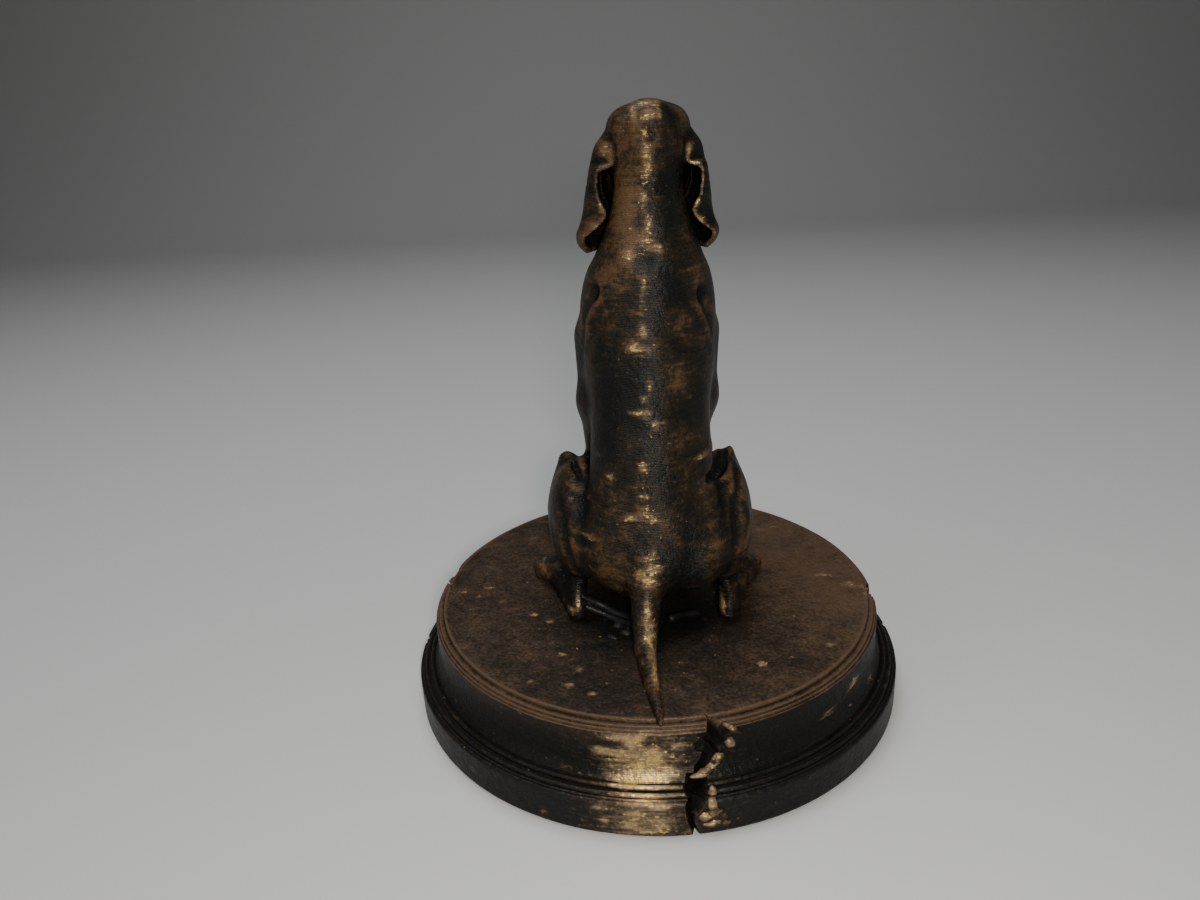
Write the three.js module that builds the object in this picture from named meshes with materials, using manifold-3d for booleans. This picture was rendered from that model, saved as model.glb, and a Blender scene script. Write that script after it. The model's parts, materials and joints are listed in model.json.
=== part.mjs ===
// A seated bloodhound on a round, cracked plinth: a small printed souvenir statue.
// Millimetres, +Z up. The origin is the centre of the plinth's underside, and the hound faces -Y.
import * as THREE from "three";
import { mergeVertices } from "three/addons/utils/BufferGeometryUtils.js";
import { triTable } from "three/addons/objects/MarchingCubes.js";
import Module from "manifold-3d";

// Driving dimensions
const PLINTH_RADIUS = 34.7;
const PLINTH_HEIGHT = 13.7;
const HOUND_HEIGHT = 66.7;
const SEAT_OFFSET = 0.6; // the hound sits this far to its left of the plinth's centre
const LEAN_PER_MM = 0.0315; // and its mid-line drifts this far to its right with each mm up
const RIGHT_HIND_SET_BACK = 2; // its right hind leg lies this far behind the left one

const PLINTH_COLOUR = 0x2b1c12;
const HOUND_COLOUR = 0x3a2617;

const wasm = await Module();
wasm.setup();

// Solids and geometries

function solidOf(geometry) {
  const bare = geometry.index ? geometry.toNonIndexed() : geometry.clone();
  bare.deleteAttribute("normal");
  bare.deleteAttribute("uv");
  const merged = mergeVertices(bare, 1e-4);
  return new wasm.Manifold(
    new wasm.Mesh({
      numProp: 3,
      vertProperties: merged.attributes.position.array,
      triVerts: new Uint32Array(merged.index.array),
    }),
  );
}

function geometryOf(solid) {
  const { numProp, numVert, vertProperties, triVerts } = solid.getMesh();
  const positions = new Float32Array(numVert * 3);
  for (let i = 0; i < numVert; i++)
    positions.set(vertProperties.subarray(i * numProp, i * numProp + 3), i * 3);
  return new THREE.BufferGeometry()
    .setAttribute("position", new THREE.BufferAttribute(positions, 3))
    .setIndex(new THREE.BufferAttribute(triVerts, 1));
}

// Joins rings of points, all of one length, into a closed skin with a fan over each end.
function loft(rings) {
  const count = rings[0].length;
  const positions = rings.flat().flatMap((p) => [p.x, p.y, p.z]);
  for (const ring of [rings[0], rings.at(-1)]) {
    const sum = new THREE.Vector3();
    for (const p of ring) sum.add(p);
    positions.push(...sum.divideScalar(count).toArray());
  }
  const firstCap = rings.length * count;
  const lastCap = firstCap + 1;
  const faces = [];
  for (let j = 0; j < count; j++) {
    const next = (j + 1) % count;
    for (let i = 0; i + 1 < rings.length; i++) {
      const [a, b] = [i * count + j, i * count + next];
      const [c, d] = [a + count, b + count];
      faces.push(a, b, d, a, d, c);
    }
    const top = (rings.length - 1) * count;
    faces.push(firstCap, next, j, lastCap, top + j, top + next);
  }
  const made = new THREE.BufferGeometry()
    .setAttribute("position", new THREE.BufferAttribute(new Float32Array(positions), 3))
    .setIndex(faces);
  return solidOf(made);
}

// Clay: a distance field that grows by blending one mass after another into it

function clay() {
  const steps = [];
  const field = (p) => {
    let d = 1e3;
    for (const { distance, blend } of steps) {
      const other = distance(p);
      const near = Math.max(blend - Math.abs(d - other), 0) / blend;
      d = Math.min(d, other) - (near * near * blend) / 4;
    }
    return d;
  };
  return { field, add: (distance, blend) => steps.push({ distance, blend }) };
}

// An egg-shaped mass. Its tilt is [about X, about Y, about Z] in degrees.
function mass([x, y, z], [rx, ry, rz], tilt = [0, 0, 0]) {
  const euler = new THREE.Euler(...tilt.map(THREE.MathUtils.degToRad));
  const back = new THREE.Quaternion().setFromEuler(euler).invert();
  const q = new THREE.Vector3();
  return (p) => {
    q.set(p.x - x, p.y - y, p.z - z).applyQuaternion(back);
    const outer = Math.hypot(q.x / rx, q.y / ry, q.z / rz);
    const inner = Math.hypot(q.x / rx ** 2, q.y / ry ** 2, q.z / rz ** 2);
    return inner ? (outer * (outer - 1)) / inner : -Math.min(rx, ry, rz);
  };
}

// A tapered round bar between two points.
function limb(from, to, r0, r1) {
  const start = new THREE.Vector3(...from);
  const along = new THREE.Vector3(...to).sub(start);
  const length2 = along.lengthSq();
  const q = new THREE.Vector3();
  return (p) => {
    q.copy(p).sub(start);
    const t = THREE.MathUtils.clamp(q.dot(along) / length2, 0, 1);
    return q.addScaledVector(along, -t).length() - THREE.MathUtils.lerp(r0, r1, t);
  };
}

// Rising values along one axis: each stop is [where it ends, step up to there].
function gridLine(from, ...stops) {
  const line = [from];
  for (const [end, step] of stops) {
    const start = line.at(-1);
    const count = Math.round((end - start) / step);
    for (let i = 1; i <= count; i++) line.push(start + ((end - start) * i) / count);
  }
  return line;
}

// The surface where the field is zero, as a closed solid, by marching cubes on a grid of uneven steps.
function surfaceOf(field, xs, ys, zs) {
  const CORNERS = [
    [0, 0, 0], [1, 0, 0], [1, 1, 0], [0, 1, 0],
    [0, 0, 1], [1, 0, 1], [1, 1, 1], [0, 1, 1],
  ];
  const EDGES = [
    [0, 1], [1, 2], [2, 3], [3, 0], [4, 5], [5, 6], [6, 7], [7, 4],
    [0, 4], [1, 5], [2, 6], [3, 7],
  ];
  const LEAST = 0.08; // keeps a corner off the surface, so that no face is a sliver
  const [nx, ny] = [xs.length, ys.length];
  const p = new THREE.Vector3();
  const values = zs.map((z) =>
    ys.map((y) =>
      xs.map((x) => {
        const d = field(p.set(x, y, z));
        return Math.abs(d) < LEAST ? Math.sign(d || 1) * LEAST : d;
      }),
    ),
  );
  const nodeId = (i, j, k) => (k * ny + j) * nx + i;
  const vertexOf = new Map();
  const positions = [];
  const faces = [];
  const crossing = (a, b) => {
    const key = a.id < b.id ? `${a.id}_${b.id}` : `${b.id}_${a.id}`;
    if (!vertexOf.has(key)) {
      const t = a.d / (a.d - b.d);
      vertexOf.set(key, positions.length / 3);
      positions.push(a.x + t * (b.x - a.x), a.y + t * (b.y - a.y), a.z + t * (b.z - a.z));
    }
    return vertexOf.get(key);
  };
  for (let k = 0; k + 1 < zs.length; k++)
    for (let j = 0; j + 1 < ny; j++)
      for (let i = 0; i + 1 < nx; i++) {
        const cell = CORNERS.map(([di, dj, dk]) => ({
          id: nodeId(i + di, j + dj, k + dk),
          d: values[k + dk][j + dj][i + di],
          x: xs[i + di],
          y: ys[j + dj],
          z: zs[k + dk],
        }));
        const inside = cell.reduce((bits, corner, n) => bits | (corner.d < 0 ? 1 << n : 0), 0);
        for (let n = inside * 16; triTable[n] >= 0; n += 3)
          faces.push(
            ...[0, 2, 1].map((step) => {
              const [a, b] = EDGES[triTable[n + step]];
              return crossing(cell[a], cell[b]);
            }),
          );
      }
  const made = new THREE.BufferGeometry()
    .setAttribute("position", new THREE.BufferAttribute(new Float32Array(positions), 3))
    .setIndex(faces);
  return solidOf(made);
}

// The hound, in its own frame: [to its left, towards its tail, up], from the middle of its seat

const WITHERS = [0, -3.5, 46];
const POLL = [0, -5.0, 60.5];
const ELBOW = [6.6, -4.8, 27.5];
const WRIST = [5.5, -10.8, 7.5];
const FORE_PAW = [5.7, -13.6, 1.7];
const KNEE = [11.6, -7.2, 17.6];
const HEEL = [10.2, 7.9, 2.4];
const HIND_PAW = [13.4, -3.2, 1.6];
const NOSE = [0, -22.4, 59.0];
const FORE_TURN = 4; // degrees that a front paw points outwards
const HIND_TURN = 24;

function trunk(body) {
  body.add(mass([0, 5.2, 10.9], [10.6, 8.6, 8.6]), 1);
  body.add(mass([0, 2.6, 21.5], [8.2, 8.4, 10.5], [12, 0, 0]), 5);
  body.add(mass([0, -2.9, 33.5], [8.85, 9.9, 12.3], [18, 0, 0]), 4);
  body.add(mass([0, -4.4, 42.5], [7.75, 7.8, 8.4]), 4);
  body.add(mass([0, -10.2, 37], [5.4, 4.6, 8], [12, 0, 0]), 4);
}

function neck(body) {
  body.add(limb(WITHERS, POLL, 6.2, 3.7), 4);
  body.add(limb([0, -8.8, 42], [0, -10.0, 54], 4.8, 3.0), 4);
}

function head(body) {
  body.add(mass([0, -7.2, 61.1], [5.15, 7.6, 5.6]), 2);
  body.add(mass([3.2, -6.5, 63.4], [2.0, 4.0, 2.1]), 1.5);
  body.add(mass([0, -0.9, 63.2], [2.0, 1.6, 1.9]), 1.5);
  body.add(limb([0, -12.0, 58.9], [0, -20.0, 57.9], 4.0, 3.1), 2);
  body.add(mass([0, -18.4, 58.4], [3.1, 4.8, 2.9], [-4, 0, 0]), 1.5);
  body.add(mass([2.6, -12.4, 62.0], [2.2, 2.3, 1.5], [25, 20, 0]), 1.2);
  body.add(mass([3.7, -10.4, 57.4], [2.2, 4.2, 4.4]), 2);
  body.add(limb([0, -11.5, 54.2], [0, -18.8, 53.6], 2.6, 1.9), 1.5);
  body.add(mass([1.9, -19.6, 55.9], [1.75, 3.3, 3.9], [-6, 0, 4]), 1.2);
  body.add(mass([2.6, -15.4, 55.0], [1.9, 3.8, 4.2], [-6, 0, 6]), 1.4);
  body.add(mass(NOSE, [2.2, 1.7, 1.7], [-12, 0, 0]), 0.6);
  body.add(mass([4.7, -6.4, 60.5], [1.6, 3.2, 1.8], [0, 20, 0]), 1);
}

function foreleg(body) {
  body.add(mass([6.4, -5.9, 39.3], [2.8, 5.6, 7.2], [14, 0, 0]), 1);
  body.add(limb([6.9, -7.2, 36], ELBOW, 3.1, 2.9), 2);
  body.add(limb(ELBOW, WRIST, 3.0, 2.1), 2);
  body.add(limb(WRIST, [5.6, -12.2, 2.4], 2.2, 2.0), 1.5);
}

function hindLeg(body) {
  const underHeel = [10.4, 7.6, 1.3];
  body.add(mass([10.0, -0.3, 11.6], [4.3, 9.4, 6.9], [-26, 0, 4]), 1.2);
  body.add(limb(KNEE, [10.9, -3.5, 12], 1.3, 3.2), 1.5);
  body.add(limb([11.2, -5.5, 10], HEEL, 2.7, 1.1), 1);
  body.add(limb(HEEL, underHeel, 1.1, 1.2), 0.8);
  body.add(limb(underHeel, HIND_PAW, 1.3, 1.7), 1);
}

function pad(body, at, turn) {
  body.add(mass(at, [2.6, 2.9, 1.9], [0, 0, turn]), 1);
}

// A paw's four toes as separate solids. The paw is turned outwards by some degrees.
function toes([x, y, z], turn, side) {
  const TOES = 4;
  const TOE_PITCH = 1.3;
  const out = THREE.MathUtils.degToRad(turn);
  return Array.from({ length: TOES }, (_, i) => {
    const across = (i - (TOES - 1) / 2) * TOE_PITCH;
    const ahead = 2.7 - Math.abs(across) * 0.35;
    const left = x + across * Math.cos(out) + ahead * Math.sin(out);
    const back = y + across * Math.sin(out) - ahead * Math.cos(out);
    const toe = new THREE.SphereGeometry(1, 6, 4).scale(0.82, 1.6, 1.35).rotateZ(side * out);
    return solidOf(toe.translate(midLine(z) + side * left, back, z - 0.4));
  });
}

// The hound's mid-line: where its left and right meet, at some height.
function midLine(up) {
  return SEAT_OFFSET - LEAN_PER_MM * up;
}

// How far the right hind leg is set back at a point, fading out towards the rump and upwards.
function setBack(left, up) {
  const low = 1 - THREE.MathUtils.smoothstep(up, 8, 22);
  return RIGHT_HIND_SET_BACK * low * THREE.MathUtils.smoothstep(-left, 4, 9);
}

function tail(body) {
  const line = new THREE.CatmullRomCurve3(
    [
      [1.5, 12.2, 7.4],
      [1.9, 14.6, 3.9],
      [2.2, 17.6, 1.6],
      [2.1, 22, 1.1],
      [1.75, 27, 0.8],
      [1.35, 31.7, 0.4],
    ].map((p) => new THREE.Vector3(...p)),
  );
  const STEPS = 12;
  const radius = (t) => 0.4 + 1.75 * (1 - t) ** 0.9;
  body.add(limb([0.7, 9.4, 11.2], [1.5, 12.3, 7.2], 2.7, 2.3), 2);
  for (let i = 0; i < STEPS; i++) {
    const [t0, t1] = [i / STEPS, (i + 1) / STEPS];
    body.add(limb(line.getPoint(t0).toArray(), line.getPoint(t1).toArray(), radius(t0), radius(t1)), 0.8);
  }
}

// One ear: a leaf that hangs open towards the rear. Each level is [up, rear edge, outer fold, front edge].
function ear(side) {
  const THICKNESS = 1.5;
  const LEVELS = [
    [62.4, [4.2, -4.2], [5.3, -6.0], [4.8, -8.4]],
    [61.0, [4.9, -3.4], [6.4, -6.0], [5.7, -9.4]],
    [59.2, [4.9, -3.1], [6.9, -6.1], [5.8, -10.4]],
    [58.3, [6.6, -2.8], [7.15, -6.2], [5.8, -10.9]],
    [55.2, [6.6, -2.6], [7.7, -6.3], [5.4, -12.0]],
    [53.2, [5.7, -2.6], [8.0, -6.5], [4.6, -12.2]],
    [51.6, [6.8, -3.0], [8.3, -6.7], [4.6, -11.7]],
    [50.3, [8.4, -3.9], [8.6, -6.9], [4.9, -10.9]],
    [49.0, [8.4, -5.2], [8.5, -7.1], [5.4, -10.0]],
    [48.0, [7.7, -6.4], [7.9, -7.2], [6.2, -8.9]],
  ];
  const ACROSS = 4;
  const rings = LEVELS.map(([up, rear, fold, front], n) => {
    const half = (THICKNESS / 2) * (n === LEVELS.length - 1 ? 0.5 : 1);
    const line = new THREE.QuadraticBezierCurve(
      new THREE.Vector2(...rear),
      new THREE.Vector2(2 * fold[0] - (rear[0] + front[0]) / 2, fold[1]),
      new THREE.Vector2(...front),
    );
    const outside = [];
    const inside = [];
    for (let i = 0; i <= ACROSS; i++) {
      const at = line.getPoint(i / ACROSS);
      const along = line.getTangent(i / ACROSS);
      const edge = i === 0 || i === ACROSS ? 0.5 : 1;
      const across = new THREE.Vector2(-along.y, along.x).multiplyScalar(-half * edge);
      const lift = (sign) =>
        new THREE.Vector3(midLine(up) + side * (at.x + sign * across.x), at.y + sign * across.y, up);
      outside.push(lift(-1));
      inside.unshift(lift(1));
    }
    const ring = [...outside, ...inside];
    return side > 0 ? ring : ring.reverse();
  });
  return loft(rings);
}

// A smooth path through points given as [left, towards the tail, up].
function pathOf(points) {
  const places = points.map(([left, back, up]) => new THREE.Vector3(midLine(up) + left, back, up));
  return new THREE.CatmullRomCurve3(places);
}

// A six-sided rod along a path, for cutting a crease.
function rod(points, radius) {
  const section = new THREE.Shape();
  const SIDES = 6;
  for (let i = 0; i < SIDES; i++) {
    const turn = (2 * Math.PI * i) / SIDES;
    section[i ? "lineTo" : "moveTo"](radius * Math.cos(turn), radius * Math.sin(turn));
  }
  const shape = { steps: points.length + 2, extrudePath: pathOf(points), bevelEnabled: false };
  return solidOf(new THREE.ExtrudeGeometry(section, shape));
}

// The pockets between the knees and the flanks, the hollows behind the shoulders, and the split of the lips.
const CREASES = [
  { radius: 0.9, points: [[10.7, -9.4, 19.9], [10.6, -4.3, 19.1], [10.2, -1.1, 19.0], [9.3, 2.0, 18.6]] },
  { radius: 1.3, points: [[-11.0, -8.0, 19.6], [-10.6, -3.5, 19.4], [-9.6, 0.4, 19.5], [-8.3, 4.0, 19.8]] },
  { radius: 0.8, points: [[7.9, -0.2, 44.4], [8.6, -1.0, 42.4], [9.2, -2.2, 40.0], [9.6, -2.6, 37.6]] },
  { radius: 0.8, points: [[-7.3, 1.0, 44.0], [-8.0, 0.4, 42.0], [-8.7, -0.8, 39.8], [-9.4, -1.6, 37.4]] },
  { radius: 0.8, points: [[0, -23.5, 57.6], [0, -22.8, 56.0], [0, -21.9, 54.0], [0, -20.6, 52.2]] },
];

function eye(side) {
  const [left, back, up] = [3.5, -14.6, 60.3];
  return solidOf(new THREE.SphereGeometry(1.05, 7, 5).translate(midLine(up) + side * left, back, up));
}

function hound() {
  const half = clay();
  trunk(half);
  hindLeg(half);
  foreleg(half);
  neck(half);
  head(half);
  pad(half, FORE_PAW, FORE_TURN);
  pad(half, HIND_PAW, HIND_TURN);
  const mirrored = new THREE.Vector3();
  const whole = clay();
  whole.add((p) => {
    const left = p.x - midLine(p.z);
    return half.field(mirrored.set(Math.abs(left), p.y - setBack(left, p.z), p.z));
  }, 1);
  tail(whole);
  const xs = gridLine(-19.8, [19.8, 1.65]);
  const ys = gridLine(-25.4, [-18, 1.2], [-10, 1.5], [14, 1.85], [34, 2.5]);
  const zs = gridLine(-2.2, [5, 1.45], [46, 2.25], [HOUND_HEIGHT + 1.5, 1.45]);
  let solid = surfaceOf(whole.field, xs, ys, zs);
  for (const { points, radius } of CREASES) solid = solid.subtract(rod(points, radius));
  const [x, y, z] = HIND_PAW;
  for (const side of [1, -1]) {
    const hindPaw = [x, y + setBack(side * x, z), z];
    const claws = [...toes(FORE_PAW, FORE_TURN, side), ...toes(hindPaw, HIND_TURN, side)];
    for (const piece of [...claws, ear(side), eye(side)]) solid = solid.add(piece);
  }
  const below = new THREE.BoxGeometry(80, 80, 10).translate(0, 0, -5);
  return solid.subtract(solidOf(below));
}

// The plinth: a turned block with a rounded shoulder, ringed by grooves above a wider foot, and cracked

const PLINTH_PROFILE = [
  [0, 0],
  [34.2, 0],
  [PLINTH_RADIUS, 0.6],
  [PLINTH_RADIUS, 4.7],
  [34.05, 5.1],
  [33.6, 5.7],
  [33.25, 5.35],
  [32.8, 6.15],
  [32.45, 5.85],
  [32.3, 6.4],
  [31.6, 8.0],
  [31.6, 12.4],
  [31.1, 13.3],
  [30.3, PLINTH_HEIGHT],
  [0, PLINTH_HEIGHT],
];

// A crack's points are [angle in degrees, distance from the axis, height, half its width there].
const CRACKS = [
  [
    [96.5, 28.0, 13.7, 0.08],
    [97.5, 29.6, 13.55, 0.45],
    [98.6, 30.9, 12.8, 1.0],
    [99.2, 31.5, 11.2, 1.6],
    [97.6, 31.7, 9.2, 1.2],
    [95.0, 31.7, 7.7, 0.8],
    [93.4, 32.0, 6.4, 1.1],
    [92.8, 32.8, 5.7, 1.5],
    [92.8, 34.0, 5.2, 1.4],
    [92.6, 34.7, 4.2, 0.9],
    [92.8, 34.7, 3.0, 0.7],
    [93.6, 34.7, 1.9, 0.6],
    [95.0, 34.7, 0.8, 0.6],
    [95.4, 34.7, -0.5, 0.5],
  ],
  [
    [178, 23.6, 13.7, 0.08],
    [175, 26.7, 13.7, 0.25],
    [174, 29.7, 13.6, 0.5],
    [172.5, 31.3, 12.6, 0.9],
    [175, 31.7, 9.5, 0.6],
    [178, 32.0, 6.9, 0.6],
    [180, 33.6, 5.8, 0.6],
    [180.5, 34.7, 4.6, 0.9],
    [180, 34.7, 2.2, 0.4],
  ],
  [
    [2, 25.6, 13.7, 0.1],
    [-2, 29.2, 13.7, 0.35],
    [-9, 30.9, 13.0, 0.7],
    [-12, 31.6, 11.6, 0.5],
    [-8, 31.7, 8.8, 0.4],
    [-5.5, 32.4, 6.6, 0.5],
    [-5, 34.2, 5.5, 0.7],
    [-5.5, 34.7, 4.4, 0.8],
    [-6.5, 34.7, 2.4, 0.4],
  ],
];

function crack(points) {
  const path = points.map(([angle, radius, height]) => {
    const turn = THREE.MathUtils.degToRad(angle);
    return new THREE.Vector3(radius * Math.cos(turn), radius * Math.sin(turn), height);
  });
  const rings = path.map((at, i) => {
    const [, radius, height, half] = points[i];
    const [before, after] = [path[Math.max(i - 1, 0)], path[Math.min(i + 1, path.length - 1)]];
    const along = new THREE.Vector3().subVectors(after, before);
    const out = new THREE.Vector3(at.x, at.y, 0).setLength(Math.max(radius - 28, 0) / 4);
    out.z = Math.max((height - 10.5) / 3, 0);
    out.normalize();
    const across = new THREE.Vector3().crossVectors(along, out).setLength(half);
    const mouth = at.clone().addScaledVector(out, 0.5);
    const depth = at.clone().addScaledVector(out, -1.8 * half);
    return [mouth.clone().sub(across), mouth.clone().add(across), depth];
  });
  return loft(rings);
}

// Where the edges are broken out beside the cracks, as [centre, radii].
const BITES = [
  [[-5.4, 31.9, 11.3], [2.6, 1.5, 1.6]],
  [[30.7, -8.4, 12.6], [1.5, 2.7, 1.8]],
  [[34.8, -2.1, 5.3], [0.9, 1.0, 1.2]],
  [[-31.7, 2.6, 12.2], [1.4, 1.8, 1.9]],
  [[-34.8, -0.3, 5.3], [0.8, 0.9, 1.1]],
];

function bite([centre, radii]) {
  return solidOf(new THREE.IcosahedronGeometry(1.1).scale(...radii).translate(...centre));
}

function plinth() {
  const AROUND = 52;
  const points = PLINTH_PROFILE.map(([r, z]) => new THREE.Vector2(r, z));
  const turned = new THREE.LatheGeometry(points, AROUND).rotateX(Math.PI / 2);
  let solid = solidOf(turned);
  for (const cut of [...BITES.map(bite), ...CRACKS.map(crack)]) solid = solid.subtract(cut);
  // What the cuts set loose has fallen away.
  return solid.decompose().reduce((a, b) => (a.volume() > b.volume() ? a : b));
}

function meshOf(name, solid, colour) {
  const material = new THREE.MeshStandardMaterial({ color: colour, roughness: 0.45, metalness: 0.6 });
  const mesh = new THREE.Mesh(geometryOf(solid), material);
  mesh.name = name;
  return mesh;
}

const statue = new THREE.Group();
const houndMesh = meshOf("hound", hound(), HOUND_COLOUR);
houndMesh.position.z = PLINTH_HEIGHT;
statue.add(meshOf("plinth", plinth(), PLINTH_COLOUR), houndMesh);

export default statue;
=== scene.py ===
"""A small printed souvenir: a seated bloodhound on a round, cracked plinth.

Black plastic, printed in layers, with bronze paint rubbed on what stands proud, and with some highlight and
shade painted into its colour. Shapes are worked out in millimetres and become metres when a mesh is made. The
hound faces -Y, and the camera looks at its back.
"""

import json
import math

import bmesh
import bpy
import numpy as np
from mathutils import Matrix, Vector

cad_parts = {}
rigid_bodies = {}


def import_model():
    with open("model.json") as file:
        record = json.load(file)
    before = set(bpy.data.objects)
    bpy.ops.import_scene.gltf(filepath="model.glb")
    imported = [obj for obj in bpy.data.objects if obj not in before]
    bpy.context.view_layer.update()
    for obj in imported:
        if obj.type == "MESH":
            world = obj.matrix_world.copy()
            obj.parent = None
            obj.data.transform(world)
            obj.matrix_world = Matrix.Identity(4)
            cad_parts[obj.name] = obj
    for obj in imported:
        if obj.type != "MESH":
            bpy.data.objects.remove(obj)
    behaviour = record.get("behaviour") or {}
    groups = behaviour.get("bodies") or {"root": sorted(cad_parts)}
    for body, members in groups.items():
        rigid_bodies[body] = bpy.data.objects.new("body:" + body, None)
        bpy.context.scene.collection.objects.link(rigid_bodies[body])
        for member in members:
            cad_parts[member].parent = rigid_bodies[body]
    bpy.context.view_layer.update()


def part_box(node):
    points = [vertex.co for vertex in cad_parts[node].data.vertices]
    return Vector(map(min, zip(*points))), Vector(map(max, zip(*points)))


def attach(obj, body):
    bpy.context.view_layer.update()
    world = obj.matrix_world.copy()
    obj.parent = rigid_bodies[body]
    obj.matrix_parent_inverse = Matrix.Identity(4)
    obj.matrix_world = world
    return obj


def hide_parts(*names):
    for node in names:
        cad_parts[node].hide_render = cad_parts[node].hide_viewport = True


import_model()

MM = 0.001
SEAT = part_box("hound")[0].z / MM
HOUND_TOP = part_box("hound")[1].z / MM - SEAT
PLINTH_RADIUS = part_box("plinth")[1].x / MM

SEAT_OFFSET = 0.6  # the hound sits this far to its left of the plinth's centre
LEAN_PER_MM = 0.0315  # and its mid-line drifts this far to its right with each mm up
RIGHT_HIND_SET_BACK = 2.0  # its right hind leg lies this far behind the left one
LAYER = 0.2  # height of a printed layer
VOXEL = 0.36  # side of the grid's cubes


# Camera and light


def add_object(name, data):
    thing = bpy.data.objects.new(name, data)
    bpy.context.scene.collection.objects.link(thing)
    return thing


def place_camera():
    """Stands the camera behind the statue and above it, rolled a little, as the photograph was taken."""
    place = Vector((6.75, 117.35, 82.9)) * MM
    forward = Vector((0, -0.92722, -0.37450)).normalized()
    right = Vector((-0.99874, 0.018786, -0.04651)).normalized()
    up = right.cross(forward)
    data = bpy.data.cameras.new("camera")
    data.lens = 27.54
    data.sensor_width = 36
    data.clip_start = 0.005
    data.clip_end = 20
    camera = add_object("camera", data)
    turn = Matrix((right, up, -forward)).transposed()
    camera.matrix_world = Matrix.Translation(place) @ turn.to_4x4()
    bpy.context.scene.camera = camera


def softbox(name, place, target, size, watts, colour=(1, 1, 1)):
    data = bpy.data.lights.new(name, "AREA")
    data.size = size
    data.energy = watts
    data.color = colour
    lamp = add_object(name, data)
    lamp.location = Vector(place) * MM
    lamp.rotation_euler = (Vector(target) - Vector(place)).to_track_quat("-Z", "Y").to_euler()


def light_studio():
    world = bpy.data.worlds.new("studio")
    world.use_nodes = True
    sky = world.node_tree.nodes["Background"]
    sky.inputs["Color"].default_value = (0.95, 0.95, 0.86, 1)
    sky.inputs["Strength"].default_value = 0.045
    bpy.context.scene.world = world
    middle = (0, 0, 40)
    softbox("overhead", (50, -30, 420), middle, 0.3, 1.5)
    softbox("beside_camera", (-4, 155, 96), (0, 10, 34), 0.014, 0.28, (1, 0.95, 0.85))
    softbox("left_fill", (300, 190, 150), middle, 0.2, 0.2, (1, 0.97, 0.9))
    softbox("right_fill", (-330, 40, 160), middle, 0.25, 0.12, (1, 0.98, 0.9))


# Clay: distance fields on a grid of small cubes


def mid_line(up):
    """Where the hound's left and right meet, at some height."""
    return SEAT_OFFSET - LEAN_PER_MM * up


def smooth_step(low, high, value):
    t = np.clip((value - low) / (high - low), 0, 1)
    return t * t * (3 - 2 * t)


def set_back(left, up):
    """How far the right hind leg lies back at a point, fading out towards the rump and upwards."""
    return RIGHT_HIND_SET_BACK * (1 - smooth_step(8, 22, up)) * smooth_step(4, 9, -left)


def smooth_path(points, steps=4):
    """A curve through the points, as a list of closer ones."""
    points = [np.array(p, float) for p in points]
    ends = [2 * points[0] - points[1], *points, 2 * points[-1] - points[-2]]
    path = []
    for a, b, c, d in zip(ends, ends[1:], ends[2:], ends[3:]):
        for i in range(steps):
            t = i / steps
            bend = (2 * a - 5 * b + 4 * c - d) * t**2 + (3 * b - a - 3 * c + d) * t**3
            path.append(0.5 * (2 * b + (c - a) * t + bend))
    return [*path, points[-1]]


class Mass:
    """An egg-shaped mass. Its tilt is (about X, about Y, about Z) in degrees."""

    def __init__(self, centre, radii, tilt=(0, 0, 0)):
        self.centre = np.array(centre, float)
        self.radii = np.array(radii, float)
        turn = Matrix.Identity(3)
        for angle, axis in zip(tilt, "XYZ"):
            turn = turn @ Matrix.Rotation(math.radians(angle), 3, axis)
        self.turn = np.array(turn)
        half = np.sqrt(((self.turn * self.radii) ** 2).sum(1))
        self.low, self.high = self.centre - half, self.centre + half

    def distance(self, x, y, z):
        x, y, z = x - self.centre[0], y - self.centre[1], z - self.centre[2]
        outer = inner = 0
        for column, radius in zip(self.turn.T, self.radii):
            along = (x * column[0] + y * column[1] + z * column[2]) / radius
            outer = outer + along**2
            inner = inner + (along / radius) ** 2
        outer = np.sqrt(outer)
        return outer * (outer - 1) / np.sqrt(inner + 1e-9)


class Limb:
    """A round bar along a path of points, with a radius that runs from the first to the last of a list."""

    def __init__(self, points, radii):
        self.points = [np.array(p, float) for p in points]
        stops = np.linspace(0, len(radii) - 1, len(points))
        self.radii = np.interp(stops, range(len(radii)), radii)
        reach = max(self.radii)
        self.low = np.min(self.points, axis=0) - reach
        self.high = np.max(self.points, axis=0) + reach

    def distance(self, x, y, z):
        least = np.inf
        for a, b, r0, r1 in zip(self.points, self.points[1:], self.radii, self.radii[1:]):
            along = b - a
            px, py, pz = x - a[0], y - a[1], z - a[2]
            t = np.clip((px * along[0] + py * along[1] + pz * along[2]) / (along @ along), 0, 1)
            far = np.sqrt((px - t * along[0]) ** 2 + (py - t * along[1]) ** 2 + (pz - t * along[2]) ** 2)
            least = np.minimum(least, far - (r0 + (r1 - r0) * t))
        return least


class Leaf:
    """A thin bent sheet, given by the points of its middle and half its thickness at each."""

    def __init__(self, points, halves):
        self.points = np.array(points, np.float32)
        self.halves = np.array(halves, np.float32)
        self.low = self.points.min(0) - self.halves.max()
        self.high = self.points.max(0) + self.halves.max()

    def distance(self, x, y, z):
        x, y, z = np.broadcast_arrays(x, y, z)
        least = np.full(x.shape, 1e3, np.float32)
        for (px, py, pz), half in zip(self.points, self.halves):
            far = np.sqrt((x - px) ** 2 + (y - py) ** 2 + (z - pz) ** 2) - half
            np.minimum(least, far, out=least)
        return least


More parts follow.
